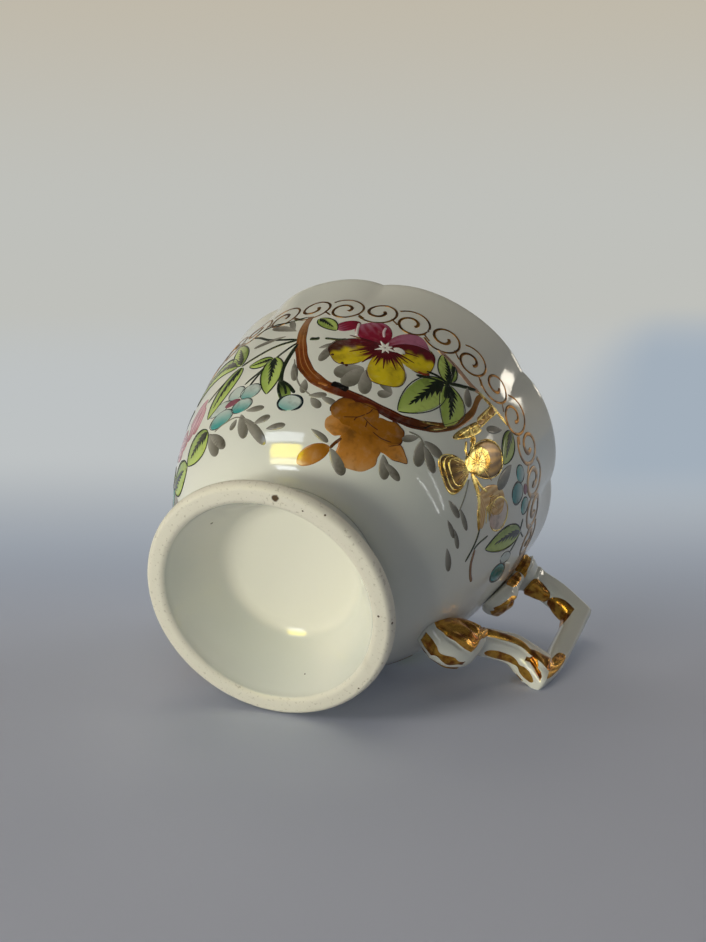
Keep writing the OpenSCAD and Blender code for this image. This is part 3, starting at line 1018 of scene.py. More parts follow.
def relief_back_bar(t, f):
    panel = spot(t, f, -0.29, 180, 0.58, 61 + 30 * t)
    edge = 0.18 * hill(f, 62, 22) * hill(t, 0.5, 0.5)
    folds = sum(-0.22 * hill(f, a + 120 * (t - 0.8), 10) * hill(t, 0.84, 0.16) for a in (56, 82))
    gold = np.maximum(panel, spot(t, f, 0.84, 72, 0.22, 32))
    round_ends = blunt(t, f, 0, 0.08, CORNER_BLUNT) + blunt(t, f, 1, 0.09, TOE_BLUNT)
    return 0.65 * soft_step(panel * 1.5) + (edge + folds) * inside(t) + round_ends, gold


def relief_lower_arm(t, f):
    stations = [0, 0.15, 0.4, 0.68, 0.9, 1]
    ridge_at = np.interp(t, stations, [94, 86, 78, 83, 92, 96])
    ridge_half = np.interp(t, stations, [17, 11, 9, 10, 14, 18])
    ridge = 0.6 * hill(f, ridge_at, 21)
    toe = [(0.1, 30), (0.13, 38), (0.19, 43), (0.24, 50), (0.33, 56), (0.43, 43)]
    groove = -0.7 * soft_step(stripe(t, f, toe, 14) * 1.4)
    knuckles = 0.4 * hill(f, 74, 14) * hill(t, 0.2, 0.16)
    band = np.interp(t, [0.15, 0.2, 0.28, 0.37, 0.45, 0.5, 0.58, 0.7, 0.82, 0.9, 0.94],
                     [0.5, 8, 14, 12, 4, 4, 9, 15, 19, 12, 0.5])
    under_edge = np.minimum(1 - f / band, np.minimum(t - 0.16, 0.94 - t) * 20)
    gold = np.maximum.reduce([1 - np.abs(f - ridge_at) / ridge_half, stripe(t, f, toe, 10),
                              spot(t, f, 0.28, 58, 0.08, 15), under_edge])
    form = ridge * soft_step(t * 14) + (groove + knuckles) * inside(t)
    return form + blunt(t, f, 0, 0.09, TOE_BLUNT), gold


def relief_lower_scroll(t, f):
    edge = np.interp(t, [0, 0.04, 0.1, 0.3, 0.45, 0.6, 0.65, 0.69, 0.74, 1],
                     [58, 50, 56, 55, 48, 39, 50, 76, 82, 78])
    top = np.interp(t, [0, 0.7, 1], [200, 160, 114])
    sheath = soft_step((f - edge) / 9)
    ribs = 0.3 * np.cos((f - edge - 13) / 24 * 2 * math.pi) * hill(t, 0.4, 0.42)
    seam = -0.5 * hill(f, edge - 5, 8) * hill(t, 0.36, 0.34)
    neck = soft_step((t - 0.62) / 0.2)
    ridge = 0.6 * hill(f, 96, 21)
    stripe_gold = np.minimum(1 - f / (11 + 5 * np.sin(t * 20)), 1 - ((t - 0.31) / 0.29) ** 2)
    gold = np.maximum(np.minimum(f - edge, top - f) / 10, stripe_gold)
    return ((0.45 + ribs) * sheath + seam) * soft_step(t * 14) * (1 - neck) + ridge * neck, gold


RELIEF = {"upper_scroll": relief_upper_scroll, "upper_arm": relief_upper_arm, "back_bar": relief_back_bar,
          "lower_arm": relief_lower_arm, "lower_scroll": relief_lower_scroll}
print("relief for", ", ".join(RELIEF))

# %% Lofts
HANDLE_SHARP = 62


def relieved(rings, name, flipped):
    """Rings moved outwards by the member's relief, and the gold's field on the same points."""
    rings = np.array(rings)
    t = np.linspace(0, 1, len(rings))[:, None]
    height, gold = RELIEF[name](t, (180 - FROM_OUTER if flipped else FROM_OUTER)[None, :])
    middle = rings.mean(axis=1, keepdims=True)
    outwards = rings - middle
    outwards /= np.maximum(np.linalg.norm(outwards, axis=2, keepdims=True), 1e-9)
    return rings + outwards * np.broadcast_to(height, gold.shape)[:, :, None], gold


def loft(name, rings, gold):
    """A closed piece from rings of points, with the gold's field as an attribute."""
    m, n = rings.shape[:2]
    faces = [(j * n + i, j * n + (i + 1) % n, (j + 1) * n + (i + 1) % n, (j + 1) * n + i)
             for j in range(m - 1) for i in range(n)]
    faces += [tuple(range(n - 1, -1, -1)), tuple((m - 1) * n + i for i in range(n))]
    piece = new_piece(name, rings.reshape(-1, 3), faces)
    form = bmesh.new()
    form.from_mesh(piece.data)
    bmesh.ops.recalc_face_normals(form, faces=form.faces[:])
    form.to_mesh(piece.data)
    form.free()
    field = piece.data.attributes.new("gilt", "FLOAT", "POINT")
    field.data.foreach_set("value", np.ascontiguousarray(gold, np.float32).ravel())
    piece.data.shade_smooth()
    piece.data.set_sharp_from_angle(angle=math.radians(HANDLE_SHARP))
    piece.data.materials.append(HANDLE_GLAZE)
    return piece


print("lofts turn sharp at", HANDLE_SHARP, "degrees")

# %% Handle members
SEAT_RINGS = 12
SEATS = {"upper_scroll": (ARM_MID, ARM_DEPTH + 3 * COLLAR_LIP),
         "lower_scroll": (SCROLL_Z, SCROLL_DEPTH * SCROLL_SEAT)}


def member_rings(name):
    """A member's rings between its key sections, from its seat on the wall where it has one."""
    keys = KEYS[name]
    if name == "lower_scroll":
        keys = [(k[2], k[3], k[0], k[1], k[4]) for k in keys]
    rows = run(keys)
    bulge = BULB_POWER - SECTION_POWER if name == "lower_scroll" else 0.0
    shares = np.linspace(0, 1, len(rows))
    rings = [section(k, SECTION_POWER + bulge * hill(t, 0.4, 0.6)) for k, t in zip(rows, shares)]
    if name in SEATS:
        seat = root(*SEATS[name], SCROLL_W * ROOT_SHARE)
        return ease_rings(seat, rings[0], SEAT_RINGS) + rings
    return rings


for name in KEYS:
    rings, gold = relieved(member_rings(name), name, flipped=(name == "lower_scroll"))
    piece = finish_piece(loft(name + "_porcelain", rings, gold), name)
    print(name, len(piece.data.polygons), "faces")

# %% Leaf under the upper scroll
LEAF_LEN = 16.0
LEAF_T = 4.8
LEAF_W = 7.2
LEAF_ROWS = 60
LEAF_SHARES = np.array([0, 0.3, 0.6, 0.8, 0.93, 1])
LEAF_WIDTHS = np.array([0.9, 0.86, 1, 0.92, 0.62, 0.2])
LEAF_DEPTHS = np.array([0.75, 0.8, 1, 0.96, 0.7, 0.35])


def make_leaf():
    """A leaf that lies on the wall, ribbed and gilt in two patches."""
    shares = np.sin(np.linspace(0, math.pi / 2, LEAF_ROWS))
    rows, gold = [], []
    for t in shares:
        ribs = 1 + 0.1 * math.cos(t * 44) * hill(t, 0.26, 0.26)
        width = LEAF_W * np.interp(t, LEAF_SHARES, LEAF_WIDTHS) / 2 * rounded(SIDE) * ribs
        rib = 1 + 0.1 * np.cos(3 * math.pi * SIDE) * hill(t, 0.5, 0.5)
        out = LEAF_T * np.interp(t, LEAF_SHARES, LEAF_DEPTHS) * (1 + rounded(OUTWARD)) / 2 * rib
        z = ARM_LOW - 3 * COLLAR_LIP - LEAF_LEN * t
        rows.append(on_wall(width, np.full(AROUND, z), out))
        gold.append(np.maximum(spot(t, FROM_OUTER, 0.26, 102, 0.25, 38),
                               spot(t, FROM_OUTER, 0.74, 18, 0.23, 44)))
    return finish_piece(loft("upper_leaf_porcelain", np.array(rows), np.array(gold)), "upper_leaf")


leaf = make_leaf()
print("leaf:", len(leaf.data.polygons), "faces")

# %% [markdown]
# ## Paint that lies on the wall
# Flower painters lay enamel over the fired glaze, in thin coats that stand up a little at the brush's edge.
# A picture wrapped round the bowl would be flat and blurred close up. Here each touch of the brush is a thin
# pad of its own, bent to the wall by the same formula that made the bowl. A place on the wall is an angle
# round the cup, in degrees with the handle at 0, and a distance up the wall from the foot, in millimetres.

# %% Places on the wall
WALL_SAMPLES = 3000
wall_z = np.linspace(FOOT_H, CUP_H, WALL_SAMPLES)
wall_s = np.concatenate([[0], np.cumsum(np.hypot(np.diff(wall_z), np.diff(outer_r(wall_z))))])
SINK = -0.03
UNDER = -0.07
NORMAL_STEP = 0.05


def wall_height(s):
    return np.interp(s, wall_s, wall_z)


def wall_radius(s):
    return outer_r(wall_height(s))


def wall_at(angle, z):
    r = wall_out(z, angle)
    turn = np.radians(angle)
    return np.stack([r * np.cos(turn), r * np.sin(turn), z], -1)


def on_glaze(angle, s, lift):
    """Points over the wall at these places, lifted along its normal."""
    z = wall_height(s)
    across = wall_at(angle + NORMAL_STEP, z) - wall_at(angle - NORMAL_STEP, z)
    up = wall_at(angle, z + NORMAL_STEP) - wall_at(angle, z - NORMAL_STEP)
    normal = np.cross(across, up)
    normal /= np.linalg.norm(normal, axis=-1, keepdims=True)
    return wall_at(angle, z) + normal * np.asarray(lift)[..., None]


print("wall from foot to rim:", round(wall_s[-1], 1), "mm")

# %% Pads of paint
# Heights over the glaze in millimetres. Each later pad of a piece is raised by LAYER more.
LAYER = 0.0008
BLUSH_COAT = 0.02
THIN_COAT = 0.03
COAT = 0.05
DETAIL = 0.055
OVER = 0.06
RAY = 0.065
TOP = 0.07
CREST = 0.08
HIGHEST = 0.1


class Paint:
    """Touches of the brush, gathered into one piece. Both sides of the cup get the same, mirrored."""

    def __init__(self, name, material, slot):
        self.name, self.material, self.slot = name, material, slot
        self.points, self.faces, self.colours, self.count = [], [], [], 0

    def touch(self, places, lift, colour):
        """A thin closed pad over a grid of places, with one colour or a colour for each place."""
        rows, columns = places.shape[:2]
        edge = np.ones((rows, columns), bool)
        edge[1:-1, 1:-1] = False
        top = np.arange(rows * columns).reshape(rows, columns)
        under = top.copy()
        under[~edge] = rows * columns + np.arange((~edge).sum())
        colours = np.broadcast_to(np.asarray(colour, float)[..., :3], (rows, columns, 3))
        for side in (1, -1):
            angle, s = places[..., 0] * side, places[..., 1]
            height = lift + LAYER * len(self.points) / 2
            upper = on_glaze(angle, s, np.where(edge, SINK, height))
            lower = on_glaze(angle, s, np.full(angle.shape, UNDER))[~edge]
            self.points += [upper.reshape(-1, 3), lower]
            self.colours += [colours.reshape(-1, 3), colours[~edge]]
            for sheet, way in ((top, side), (under, -side)):
                corners = [sheet[:-1, :-1], sheet[:-1, 1:], sheet[1:, 1:], sheet[1:, :-1]]
                quads = np.stack(corners, -1).reshape(-1, 4)
                self.faces.append((quads[:, ::-1] if way < 0 else quads) + self.count)
            self.count += rows * columns + len(lower)

    def finish(self):
        """Makes the piece, with the touches' colours as its attribute paint."""
        piece = new_piece(self.name, np.concatenate(self.points), np.concatenate(self.faces).tolist())
        layer = piece.data.color_attributes.new("paint", "FLOAT_COLOR", "POINT")
        rgb = np.concatenate(self.colours)
        rgba = np.column_stack([rgb, np.ones(len(rgb))])
        layer.data.foreach_set("color", rgba.astype(np.float32).ravel())
        piece.data.shade_smooth()
        piece.data.materials.append(self.material)
        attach(piece, "root")
        print(self.name, len(piece.data.polygons), "faces")


print("pads reach", -UNDER, "mm into the glaze")

# %% Brush lines
LINE_COLUMNS = 5
RAY_POINTS = 12


def sample_path(stops, count):
    """Places at even shares of a smooth curve through a few stops."""
    stops = np.array(stops, float)
    padded = np.concatenate([[2 * stops[0] - stops[1]], stops, [2 * stops[-1] - stops[-2]]])
    out = []
    for u in np.linspace(0, len(stops) - 1, count):
        i = min(int(u), len(stops) - 2)
        out.append(between(*padded[i:i + 4], u - i))
    return np.array(out)


def spread(path, left, right, columns):
    """A grid of places beside a path, from left to right widths in millimetres."""
    r = wall_radius(path[:, 1])
    along = np.column_stack([np.radians(np.gradient(path[:, 0])) * r, np.gradient(path[:, 1])])
    along /= np.maximum(np.linalg.norm(along, axis=1, keepdims=True), 1e-9)
    share = np.linspace(-1, 1, columns)[None, :]
    width = np.where(share < 0, np.asarray(left)[:, None], np.asarray(right)[:, None]) * share
    s = path[:, 1][:, None] - along[:, 0][:, None] * width
    turn = np.radians(path[:, 0])[:, None] + along[:, 1][:, None] * width / r[:, None]
    return np.stack([np.degrees(turn), s], -1)


def taper(t, ends=0.12):
    """A brush line's width: 1 in the middle, less over a share of its length at both ends."""
    return np.clip(np.minimum(t + 0.02, 1.02 - t) / ends, 0.15, 1) ** 0.6


def line(stops, width, count=28, columns=LINE_COLUMNS):
    """A grid of places for a brush line through a few stops."""
    half = width / 2 * taper(np.linspace(0, 1, count))
    return spread(sample_path(stops, count), half, half, columns)


def stroke(paint, path, half, lift, colour):
    """A brush line along a path, with its half widths."""
    paint.touch(spread(path, half, half, LINE_COLUMNS), lift, colour)


print("brush lines are", LINE_COLUMNS, "points wide")


# %% Leaves, petals and dabs
def leaf_places(base, tip, bow, along, aside):
    """Places at shares along a leaf and millimetres to the right of its middle, which bows to the left."""
    r = wall_radius((base[1] + tip[1]) / 2)
    reach = np.array([math.radians(tip[0] - base[0]) * r, tip[1] - base[1]])
    right = np.array([reach[1], -reach[0]]) / np.linalg.norm(reach)
    out = aside - 4 * along * (1 - along) * bow
    x = along * reach[0] + out * right[0]
    y = along * reach[1] + out * right[1]
    return np.stack([base[0] + np.degrees(x / r), base[1] + y], -1)


def leaf_width(shares, half, low, high):
    """Half widths along a leaf, widest at low / (low + high) of its length."""
    peak = (low / (low + high)) ** low * (high / (low + high)) ** high
    return np.maximum(half * shares ** low * (1 - shares) ** high / peak, 0.04)


def blade(base, tip, half, bow=0.0, low=0.6, high=0.7, rows=20, columns=11, wave=0.0):
    """A leaf or petal from its base to its tip: a grid of places, with its shares along and across."""
    shares = (1 - np.cos(np.linspace(0, math.pi, rows))) / 2
    width = leaf_width(shares, half, low, high) * (1 + wave * np.sin(shares * 19))
    across = np.linspace(-1, 1, columns)[None, :] * np.ones((rows, 1))
    along = shares[:, None] + 0 * across
    return leaf_places(base, tip, bow, along, width[:, None] * across), along, across


def oval(centre, half_wide, half_high):
    """A round dab: a grid of places that fills an oval."""
    low = (centre[0], centre[1] - half_high)
    high = (centre[0], centre[1] + half_high)
    return blade(low, high, half_wide, 0.0, 0.5, 0.5, 16, 11)


def edge_line(paint, places, width, colour, lift, first):
    """A brush line round the edge of a pad from a first share of its length, thick and thin in turn."""
    start = int(first * len(places))
    rim = np.concatenate([places[start:, 0], places[-2:start:-1, -1]])
    shares = np.linspace(0, 1, len(rim))
    half = width / 2 * taper(shares, 0.2) * (0.8 + 0.25 * np.sin(shares * 23))
    stroke(paint, rim, half, lift, colour)


def rays(paint, centre, from_turn, to_turn, count, near, far, width, colour, lift):
    """Tapered lines that fan out from a flower's eye."""
    r = wall_radius(centre[1])
    for k, turn in enumerate(np.radians(np.linspace(from_turn, to_turn, count))):
        reach = far * (0.78 + 0.22 * math.cos(2.4 * k))
        stops = [(centre[0] + math.degrees(d * math.cos(turn) / r), centre[1] + d * math.sin(turn))
                 for d in (near, (near + reach) / 2, reach)]
        half = width / 2 * np.linspace(1, 0.12, RAY_POINTS)
        stroke(paint, sample_path(stops, RAY_POINTS), half, lift, colour)


def blend(first, second, share):
    """Colours between two tones or grids of tones."""
    first, second = (np.asarray(c, float)[..., :3] for c in (first, second))
    return first + (second - first) * np.clip(share, 0, 1)[..., None]


print("brush ready")


# %% Enamel and gilding finishes
def enamel_material(name, metallic, rough):
    """Coloured glass over the glaze, with the brush's streaks, in the colours of the attribute paint."""
    mat, tree, skin = new_material(name)
    skin.inputs["Metallic"].default_value = metallic
    place = object_place(tree)
    laid = add(tree, "ShaderNodeAttribute", attribute_name="paint").outputs["Color"]
    streak = noise(tree, place, 700.0, 4.0)
    wash = noise(tree, place, 180.0, 3.0)
    depth = calc(tree, "MULTIPLY_ADD", streak, 0.5, calc(tree, "MULTIPLY", wash, 0.5))
    dark = mix_colour(tree, 0.45, laid, tone("#2a1d10"))
    light = mix_colour(tree, 0.1, laid, tone("#e6e3d8"))
    colour = mix_colour(tree, fade(tree, depth, 0.3, 0.5), dark, laid)
    colour = mix_colour(tree, fade(tree, depth, 0.5, 0.72), colour, light)
    join(tree, skin, Base_Color=colour, Roughness=calc(tree, "MULTIPLY_ADD", wash, 0.16, rough),
         Normal=bump(tree, streak, 0.02))
    return mat


HANDLE_ROOT = Vector((43.0, 0.0, 64.0)) * MM


def gilding_material(name, bright, thin, wear, rubbed, rough, relief):
    """Brushed gold on the glaze, worn in places and rubbed away where fingers meet it at the handle."""
    mat, tree, skin = new_material(name)
    gold = place_group(tree, GOLD, {"Bright": tone(bright), "Thin": tone(thin), "Wear": wear})
    glaze = place_group(tree, GLAZE)
    place = object_place(tree)
    away = calc_vector(tree, "DISTANCE", place, HANDLE_ROOT)
    kept = calc(tree, "SUBTRACT", 1.0, calc(tree, "MULTIPLY", fade(tree, away, 42 * MM, 30 * MM), rubbed))
    cover = calc(tree, "MULTIPLY", gold["Cover"], kept)
    join(tree, skin, Base_Color=mix_colour(tree, cover, glaze["Colour"], gold["Colour"]),
         Metallic=cover, Roughness=calc(tree, "ADD", gold["Roughness"], rough),
         Normal=bump(tree, gold["Height"], relief))
    return mat


ENAMEL = enamel_material("flower_enamel", 0.0, 0.06)
LUSTRE = enamel_material("branch_lustre", 0.35, 0.12)
LINE_GOLD = gilding_material("line_gold", "#b5823f", "#62401f", 0.28, 0.3, 0.16, 0.03)
BRIGHT_GOLD = gilding_material("bright_gold", "#f2dc8c", "#b48a3c", 0.25, 0.0, 0.06, 0.15)
print("paint finishes:", ENAMEL.name, LUSTRE.name, LINE_GOLD.name, BRIGHT_GOLD.name)

# %% [markdown]
# ## The flower painting
# A gilt branch hangs below the border like a garland. A pansy and a trio of leaves fill it, an amber flower
# and its leaf hang under it, and sprays with forget-me-nots run out on both sides. Each kind of leaf or
# flower is one recipe, and a short list says where it grows.

# %% Leaves
LEAF_LIGHT = tone("#b9cd6c")
LEAF_GREEN = tone("#8aa248")
LEAF_DARK = tone("#14220d")
GREY_LEAF = tone("#6b675b")
GREY_PALE = tone("#a09c92")
FEATHER_REACH = 0.8
FEATHER_SWEEP = 0.12
FEATHER_TEETH = 9


def feather(base, tip, half, bow, lean, reach):
    """The dark heart of a leaf, with barbs that sweep towards the tip, leaning to one side."""
    shares = np.linspace(0.0, reach, 120)[:, None]
    across = np.linspace(-1, 1, 9)[None, :]
    fall = (1 - shares / reach) ** 0.55
    width = leaf_width(shares, half, 0.6, 0.8)
    saw = np.mod(shares * FEATHER_TEETH + np.where(across < 0, 0.0, 0.5), 1)
    room = np.where(across < 0, 1 + 0.5 * lean, 1 - 0.5 * lean)
    root_fill = 0.5 * np.clip(1 - shares / 0.3, 0, 1)
    aside = across * width * fall * room * (0.14 + 0.5 * saw + root_fill) + 0.3 * lean * width * fall
    along = np.clip(shares + FEATHER_SWEEP * np.abs(across) * saw * fall, 0, 0.97)
    return leaf_places(base, tip, bow, along, aside)


def green_leaf(paint, base, tip, half, bow, lean, reach=FEATHER_REACH):
    """A green leaf, lighter on one half, with its dark heart and a fine line on both edges."""
    places, share, across = blade(base, tip, half, bow, 0.6, 0.8)
    light = 0.35 - 0.6 * np.sign(lean + 0.01) * across + 0.5 * share
    paint.touch(places, COAT, blend(LEAF_GREEN, LEAF_LIGHT, light))
    paint.touch(feather(base, tip, half * 0.96, bow, lean, reach), CREST, LEAF_DARK)
    for edge in (places[:, 0], places[:, -1]):
        stroke(paint, edge, 0.16 * taper(np.linspace(0, 1, len(edge))), CREST, LEAF_DARK)


def grey_leaf(paint, base, tip, half):
    """One short stroke of grey, darker towards its tip."""
    places, share, across = blade(base, tip, half, 0.0, 0.8, 0.5, 14, 9)
    paint.touch(places, THIN_COAT, blend(GREY_PALE, GREY_LEAF, 0.15 + 0.9 * share - 0.45 * across))


LEAVES = [((-84.8, 41), (-90.8, 25.6), 3.9, 0.4, 0.25), ((-82.7, 41.2), (-75.4, 30.8), 3.4, 1.1, 0.8),
          ((-83.4, 41.6), (-89.8, 48.6), 2.5, -0.4, 0.9, 0.96),
          ((-130.4, 48.6), (-122.4, 43.4), 1.8, 0.2, 0.2), ((-153.6, 36.4), (-160.5, 49.4), 2.4, 0, 0.5),
          ((-155.5, 37), (-179, 38), 3.4, -4.5, 0), ((-152.6, 35), (-165.2, 22.7), 2.8, 0, 0.7),
          ((-164.4, 18.6), (-179.8, 15.6), 4.2, 0, 0.5), ((-140, 33.6), (-149, 33.6), 1.7, 0.2, 0, 0.97),
          ((-139.4, 34), (-137.4, 21.8), 2.7, 0.2, 0, 0.78), ((-58.4, 49), (-52.6, 41), 2.5, 0.2, 0.9),
          ((-26.5, 45), (-31.2, 28.2), 2.9, -0.4, 0.95)]
GREYS = [((-108, 32.4), (-115.8, 28.2), 2.5), ((-108, 32.4), (-111, 25.6), 2.3),
         ((-107, 32), (-103.4, 25.2), 1.7), ((-95.5, 28.8), (-101, 30.4), 1.1),
         ((-95.5, 28.6), (-99.6, 26.8), 1.2), ((-121, 38), (-122.4, 31.6), 1.3),
         ((-125, 36.2), (-120.5, 38.2), 0.8), ((-124.6, 25.6), (-123.4, 21.5), 1.0),
         ((-121, 21), (-114.8, 22), 0.9), ((-120, 20.6), (-115.3, 18.3), 1.1),
         ((-116.5, 21.2), (-110.3, 20.2), 0.9), ((-145, 18.3), (-137, 18), 0.9),
         ((-147, 17.8), (-144.5, 11.2), 1.5), ((-145.5, 16.5), (-134.2, 8.8), 1.3),
         ((-140.5, 14.2), (-133.6, 15.5), 1.0), ((-149, 16.9), (-151.7, 14.6), 0.9),
         ((-163.5, 17.5), (-160, 10.3), 1.7), ((-163, 17), (-155, 11), 1.4),
         ((-134.5, 12.4), (-126.3, 13.2), 0.9), ((-86, 14.8), (-79.3, 10.8), 1.3),
         ((-84, 13.6), (-74.6, 13), 1.0), ((-105.3, 10.2), (-94.6, 6.3), 1.4),
         ((-115.4, 13), (-107, 11.2), 0.8), ((-77.8, 23.9), (-69.3, 24.6), 1.3),
         ((-78.6, 23.6), (-73.6, 18.2), 1.5), ((-77, 23), (-67.6, 20.5), 1.3),
         ((-80, 23.6), (-84, 20.3), 0.9), ((-56.5, 20.2), (-48.6, 21.2), 0.9),
         ((-51.5, 22.2), (-42.6, 22.4), 0.8), ((-50.6, 18), (-42.8, 18.4), 0.7),
         ((-46, 19), (-38, 19), 0.7), ((-40.6, 16), (-30.6, 16), 0.9), ((-136, 44), (-147, 49.2), 1.2),
         ((-137, 44.6), (-140.6, 50), 0.8), ((-139, 42.4), (-151, 42), 0.9),
         ((-50.4, 44), (-47.6, 35.8), 1.7), ((-78, 45), (-74, 40.5), 1.2), ((-131, 31), (-128.2, 25), 0.9),
         ((-61, 46), (-65, 41), 1.0)]
leaves = Paint("painted_green_leaves", ENAMEL, "enamel")
for place in LEAVES:
    green_leaf(leaves, *place)
leaves.finish()
greys = Paint("painted_grey_leaves", ENAMEL, "enamel")
for place in GREYS:
    grey_leaf(greys, *place)
greys.finish()

# %% Stems
STEM = tone("#1c2812")
STEM_PALE = tone("#5f6e40")
STEM_BROWN = tone("#8f6347")
STEM_GREY = tone("#8a857a")
STEMS = [([(-133.5, 40), (-140, 41.3), (-146, 43.5), (-151, 47), (-155, 49.6)], 0.9, STEM),
         ([(-133.5, 39.8), (-141, 38.8), (-148, 37), (-153.6, 35.8)], 1.2, STEM),
         ([(-133, 39), (-137, 35.5), (-142, 31), (-148.6, 27)], 0.9, STEM),
         ([(-139.5, 33), (-143, 29.5), (-146, 26)], 0.8, STEM),
         ([(-132.8, 38.5), (-133.8, 34), (-134.3, 29), (-133.2, 25), (-131.5, 23.4)], 1.3, STEM),
         ([(-134.5, 50.4), (-141, 49.6), (-147, 50.8), (-152, 50.6), (-156, 48.2)], 0.9, STEM),
         ([(-129.6, 40), (-127.8, 39.8), (-126.4, 40.1)], 1.4, STEM),
         ([(-124.8, 40.1), (-121, 39.9), (-117, 40.4)], 1.0, STEM),
         ([(-83.4, 41.6), (-79.6, 44), (-75.2, 46.9)], 1.2, STEM),
         ([(-83.6, 41), (-88, 39.4), (-92.8, 37.4)], 1.0, STEM),
         ([(-83.6, 41.5), (-87.5, 41.2), (-91, 40.3)], 0.8, STEM),
         ([(-85.2, 47.6), (-83.9, 44.5), (-83.2, 41)], 1.7, STEM),
         ([(-83.6, 42), (-82.7, 39.6), (-81.2, 37)], 1.6, STEM),
         ([(-155, 35.2), (-161, 32.5), (-167.5, 30)], 0.8, STEM),
         ([(-30.5, 46.2), (-27, 45), (-24, 43.4), (-21.8, 40.8)], 0.9, STEM),
         ([(-26, 45.6), (-24, 47), (-22.6, 48.2)], 0.6, STEM),
         ([(-40.4, 26.8), (-36.5, 24.8), (-31, 21)], 0.7, STEM),
         ([(-35.6, 29.4), (-35, 25.6), (-34, 24)], 0.5, STEM),
         ([(-34, 24.4), (-29, 23.1), (-24, 23.4), (-20.6, 24.4)], 1.0, STEM_BROWN),
         ([(-131.6, 32.5), (-129, 27.5), (-125.4, 23.6), (-119.6, 20.8)], 0.4, STEM_GREY),
         ([(-160.6, 16.8), (-155, 17.4), (-148, 17.2), (-140, 13)], 0.35, STEM_GREY),
         ([(-57.6, 28), (-54, 25), (-50.6, 21.6)], 0.4, STEM_GREY),
         ([(-83.8, 23), (-80, 23.8), (-76.5, 23.2)], 0.4, STEM_GREY)]
stems = Paint("painted_stems", ENAMEL, "enamel")
for stops, width, colour in STEMS:
    places = line(stops, width)
    across = np.linspace(-1, 1, places.shape[1])[None, :] * np.ones(places.shape[:2])
    stems.touch(places, TOP, blend(colour, STEM_PALE, (across - 0.1) * 0.5))
stems.finish()

# %% Pansy
CRIMSON = tone("#8c1230")
PINK = tone("#b06a84")
YELLOW = tone("#ddc516")
OLIVE_GOLD = tone("#b89c1c")
MAROON = tone("#620a16")
DEEP_RED = tone("#58070e")
BROWN_LINE = tone("#4a2510")
WHITE_PAINT = tone("#efece2")
PANSY_EYE = (-105.4, 40.9)


def petal(paint, base, tip, half, colour, lift, low=0.7, high=0.34, wave=0.0):
    """A broad petal, coloured by a rule of its shares along and across."""
    places, share, across = blade(base, tip, half, 0.0, low, high, 28, 19, wave)
    paint.touch(places, lift, colour(share, across))
    return places


def upper_petal(t, w):
    """Deep at the eye, then crimson, with mauve streaks towards the edge."""
    streaked = blend(CRIMSON, PINK, (t - 0.62 + 0.16 * np.sin(w * 14 + t * 3)) * 2)
    return blend(streaked, MAROON, (0.36 - t) * 3)


def mauve_petal(t, w):
    return blend(blend(PINK, CRIMSON, (0.5 - t) * 1.8 + 0.22 * np.sin(w * 13)), MAROON, (0.2 - t) * 4)


def heart(t, w, reach):
    """The dark flames round a pansy's eye."""
    return soft_step((reach - t + 0.12 * np.cos(w * 12)) * 3.4)


def low_ground(t, w):
    return blend(YELLOW, OLIVE_GOLD, 0.5 * np.abs(w) + 0.35 * np.sin(w * 5 + t * 4))


def left_petal(t, w):
    dark = np.maximum(heart(t, w, 0.55), soft_step((w + 0.02 + 0.12 * np.sin(t * 25)) * 2.6))
    shaded = blend(low_ground(t, w), blend(MAROON, BROWN_LINE, (t - 0.45) * 3), dark)
    return blend(shaded, BROWN_LINE, (t - 0.84) * 3)


def right_petal(t, w):
    dark = np.maximum(heart(t, w, 0.4), soft_step((-w + 0.02 + 0.12 * np.sin(t * 25)) * 2.6))
    return blend(blend(low_ground(t, w), MAROON, dark), BROWN_LINE, (np.abs(w) - 0.8) * 1.5)


def low_petal(t, w):
    return blend(blend(low_ground(t, w), MAROON, heart(t, w, 0.47)), BROWN_LINE, (np.abs(w) - 0.78) * 1.8)


pansy = Paint("painted_pansy", ENAMEL, "enamel")
petal(pansy, (-116.6, 47.8), (-122.8, 44.2), 2.2, upper_petal, COAT, low=0.5, high=0.4)
petal(pansy, (-106, 41), (-114.6, 48.3), 4.3, upper_petal, COAT)
petal(pansy, (-105.6, 41.4), (-95.2, 48.4), 4.0, mauve_petal, COAT)
pansy_sides = [petal(pansy, (-104.6, 41.4), (-90, 43.2), 4.6, right_petal, OVER),
               petal(pansy, (-105.4, 41.2), (-120.2, 34.2), 4.7, left_petal, OVER),
               petal(pansy, (-104.6, 41), (-99, 29.9), 4.4, low_petal, RAY)]
for places in pansy_sides:
    edge_line(pansy, places, 0.3, BROWN_LINE, RAY, 0.5)
rays(pansy, PANSY_EYE, -112, -40, 10, 1.0, 7.8, 1.7, DEEP_RED, RAY)
rays(pansy, PANSY_EYE, 172, 232, 8, 1.0, 9.0, 1.6, DEEP_RED, RAY)
rays(pansy, PANSY_EYE, -34, 16, 6, 1.6, 8.4, 1.3, DEEP_RED, RAY)
rays(pansy, PANSY_EYE, 0, 315, 8, 0.1, 2.9, 1.7, WHITE_PAINT, TOP)
pansy.touch(oval((-101.2, 41.8), 1.6, 0.9)[0], TOP, WHITE_PAINT)
pansy.touch(line([(-108.8, 48.2), (-108.6, 46.4), (-107.6, 44.4)], 0.8), OVER, tone("#d9c3c8"))
pansy.touch(line([(-117, 47.6), (-116.4, 45), (-115.6, 42.6)], 0.9), OVER, tone("#d9cfc8"))
for dot in [(-119.4, 34.2), (-115, 32), (-113.4, 31.6)]:
    pansy.touch(oval(dot, 0.4, 0.34)[0], TOP, BROWN_LINE)
pansy.touch(line([(-92.9, 38.7), (-91, 39), (-89.4, 40)], 0.7), COAT, tone("#8c3a1a"))
pansy.finish()

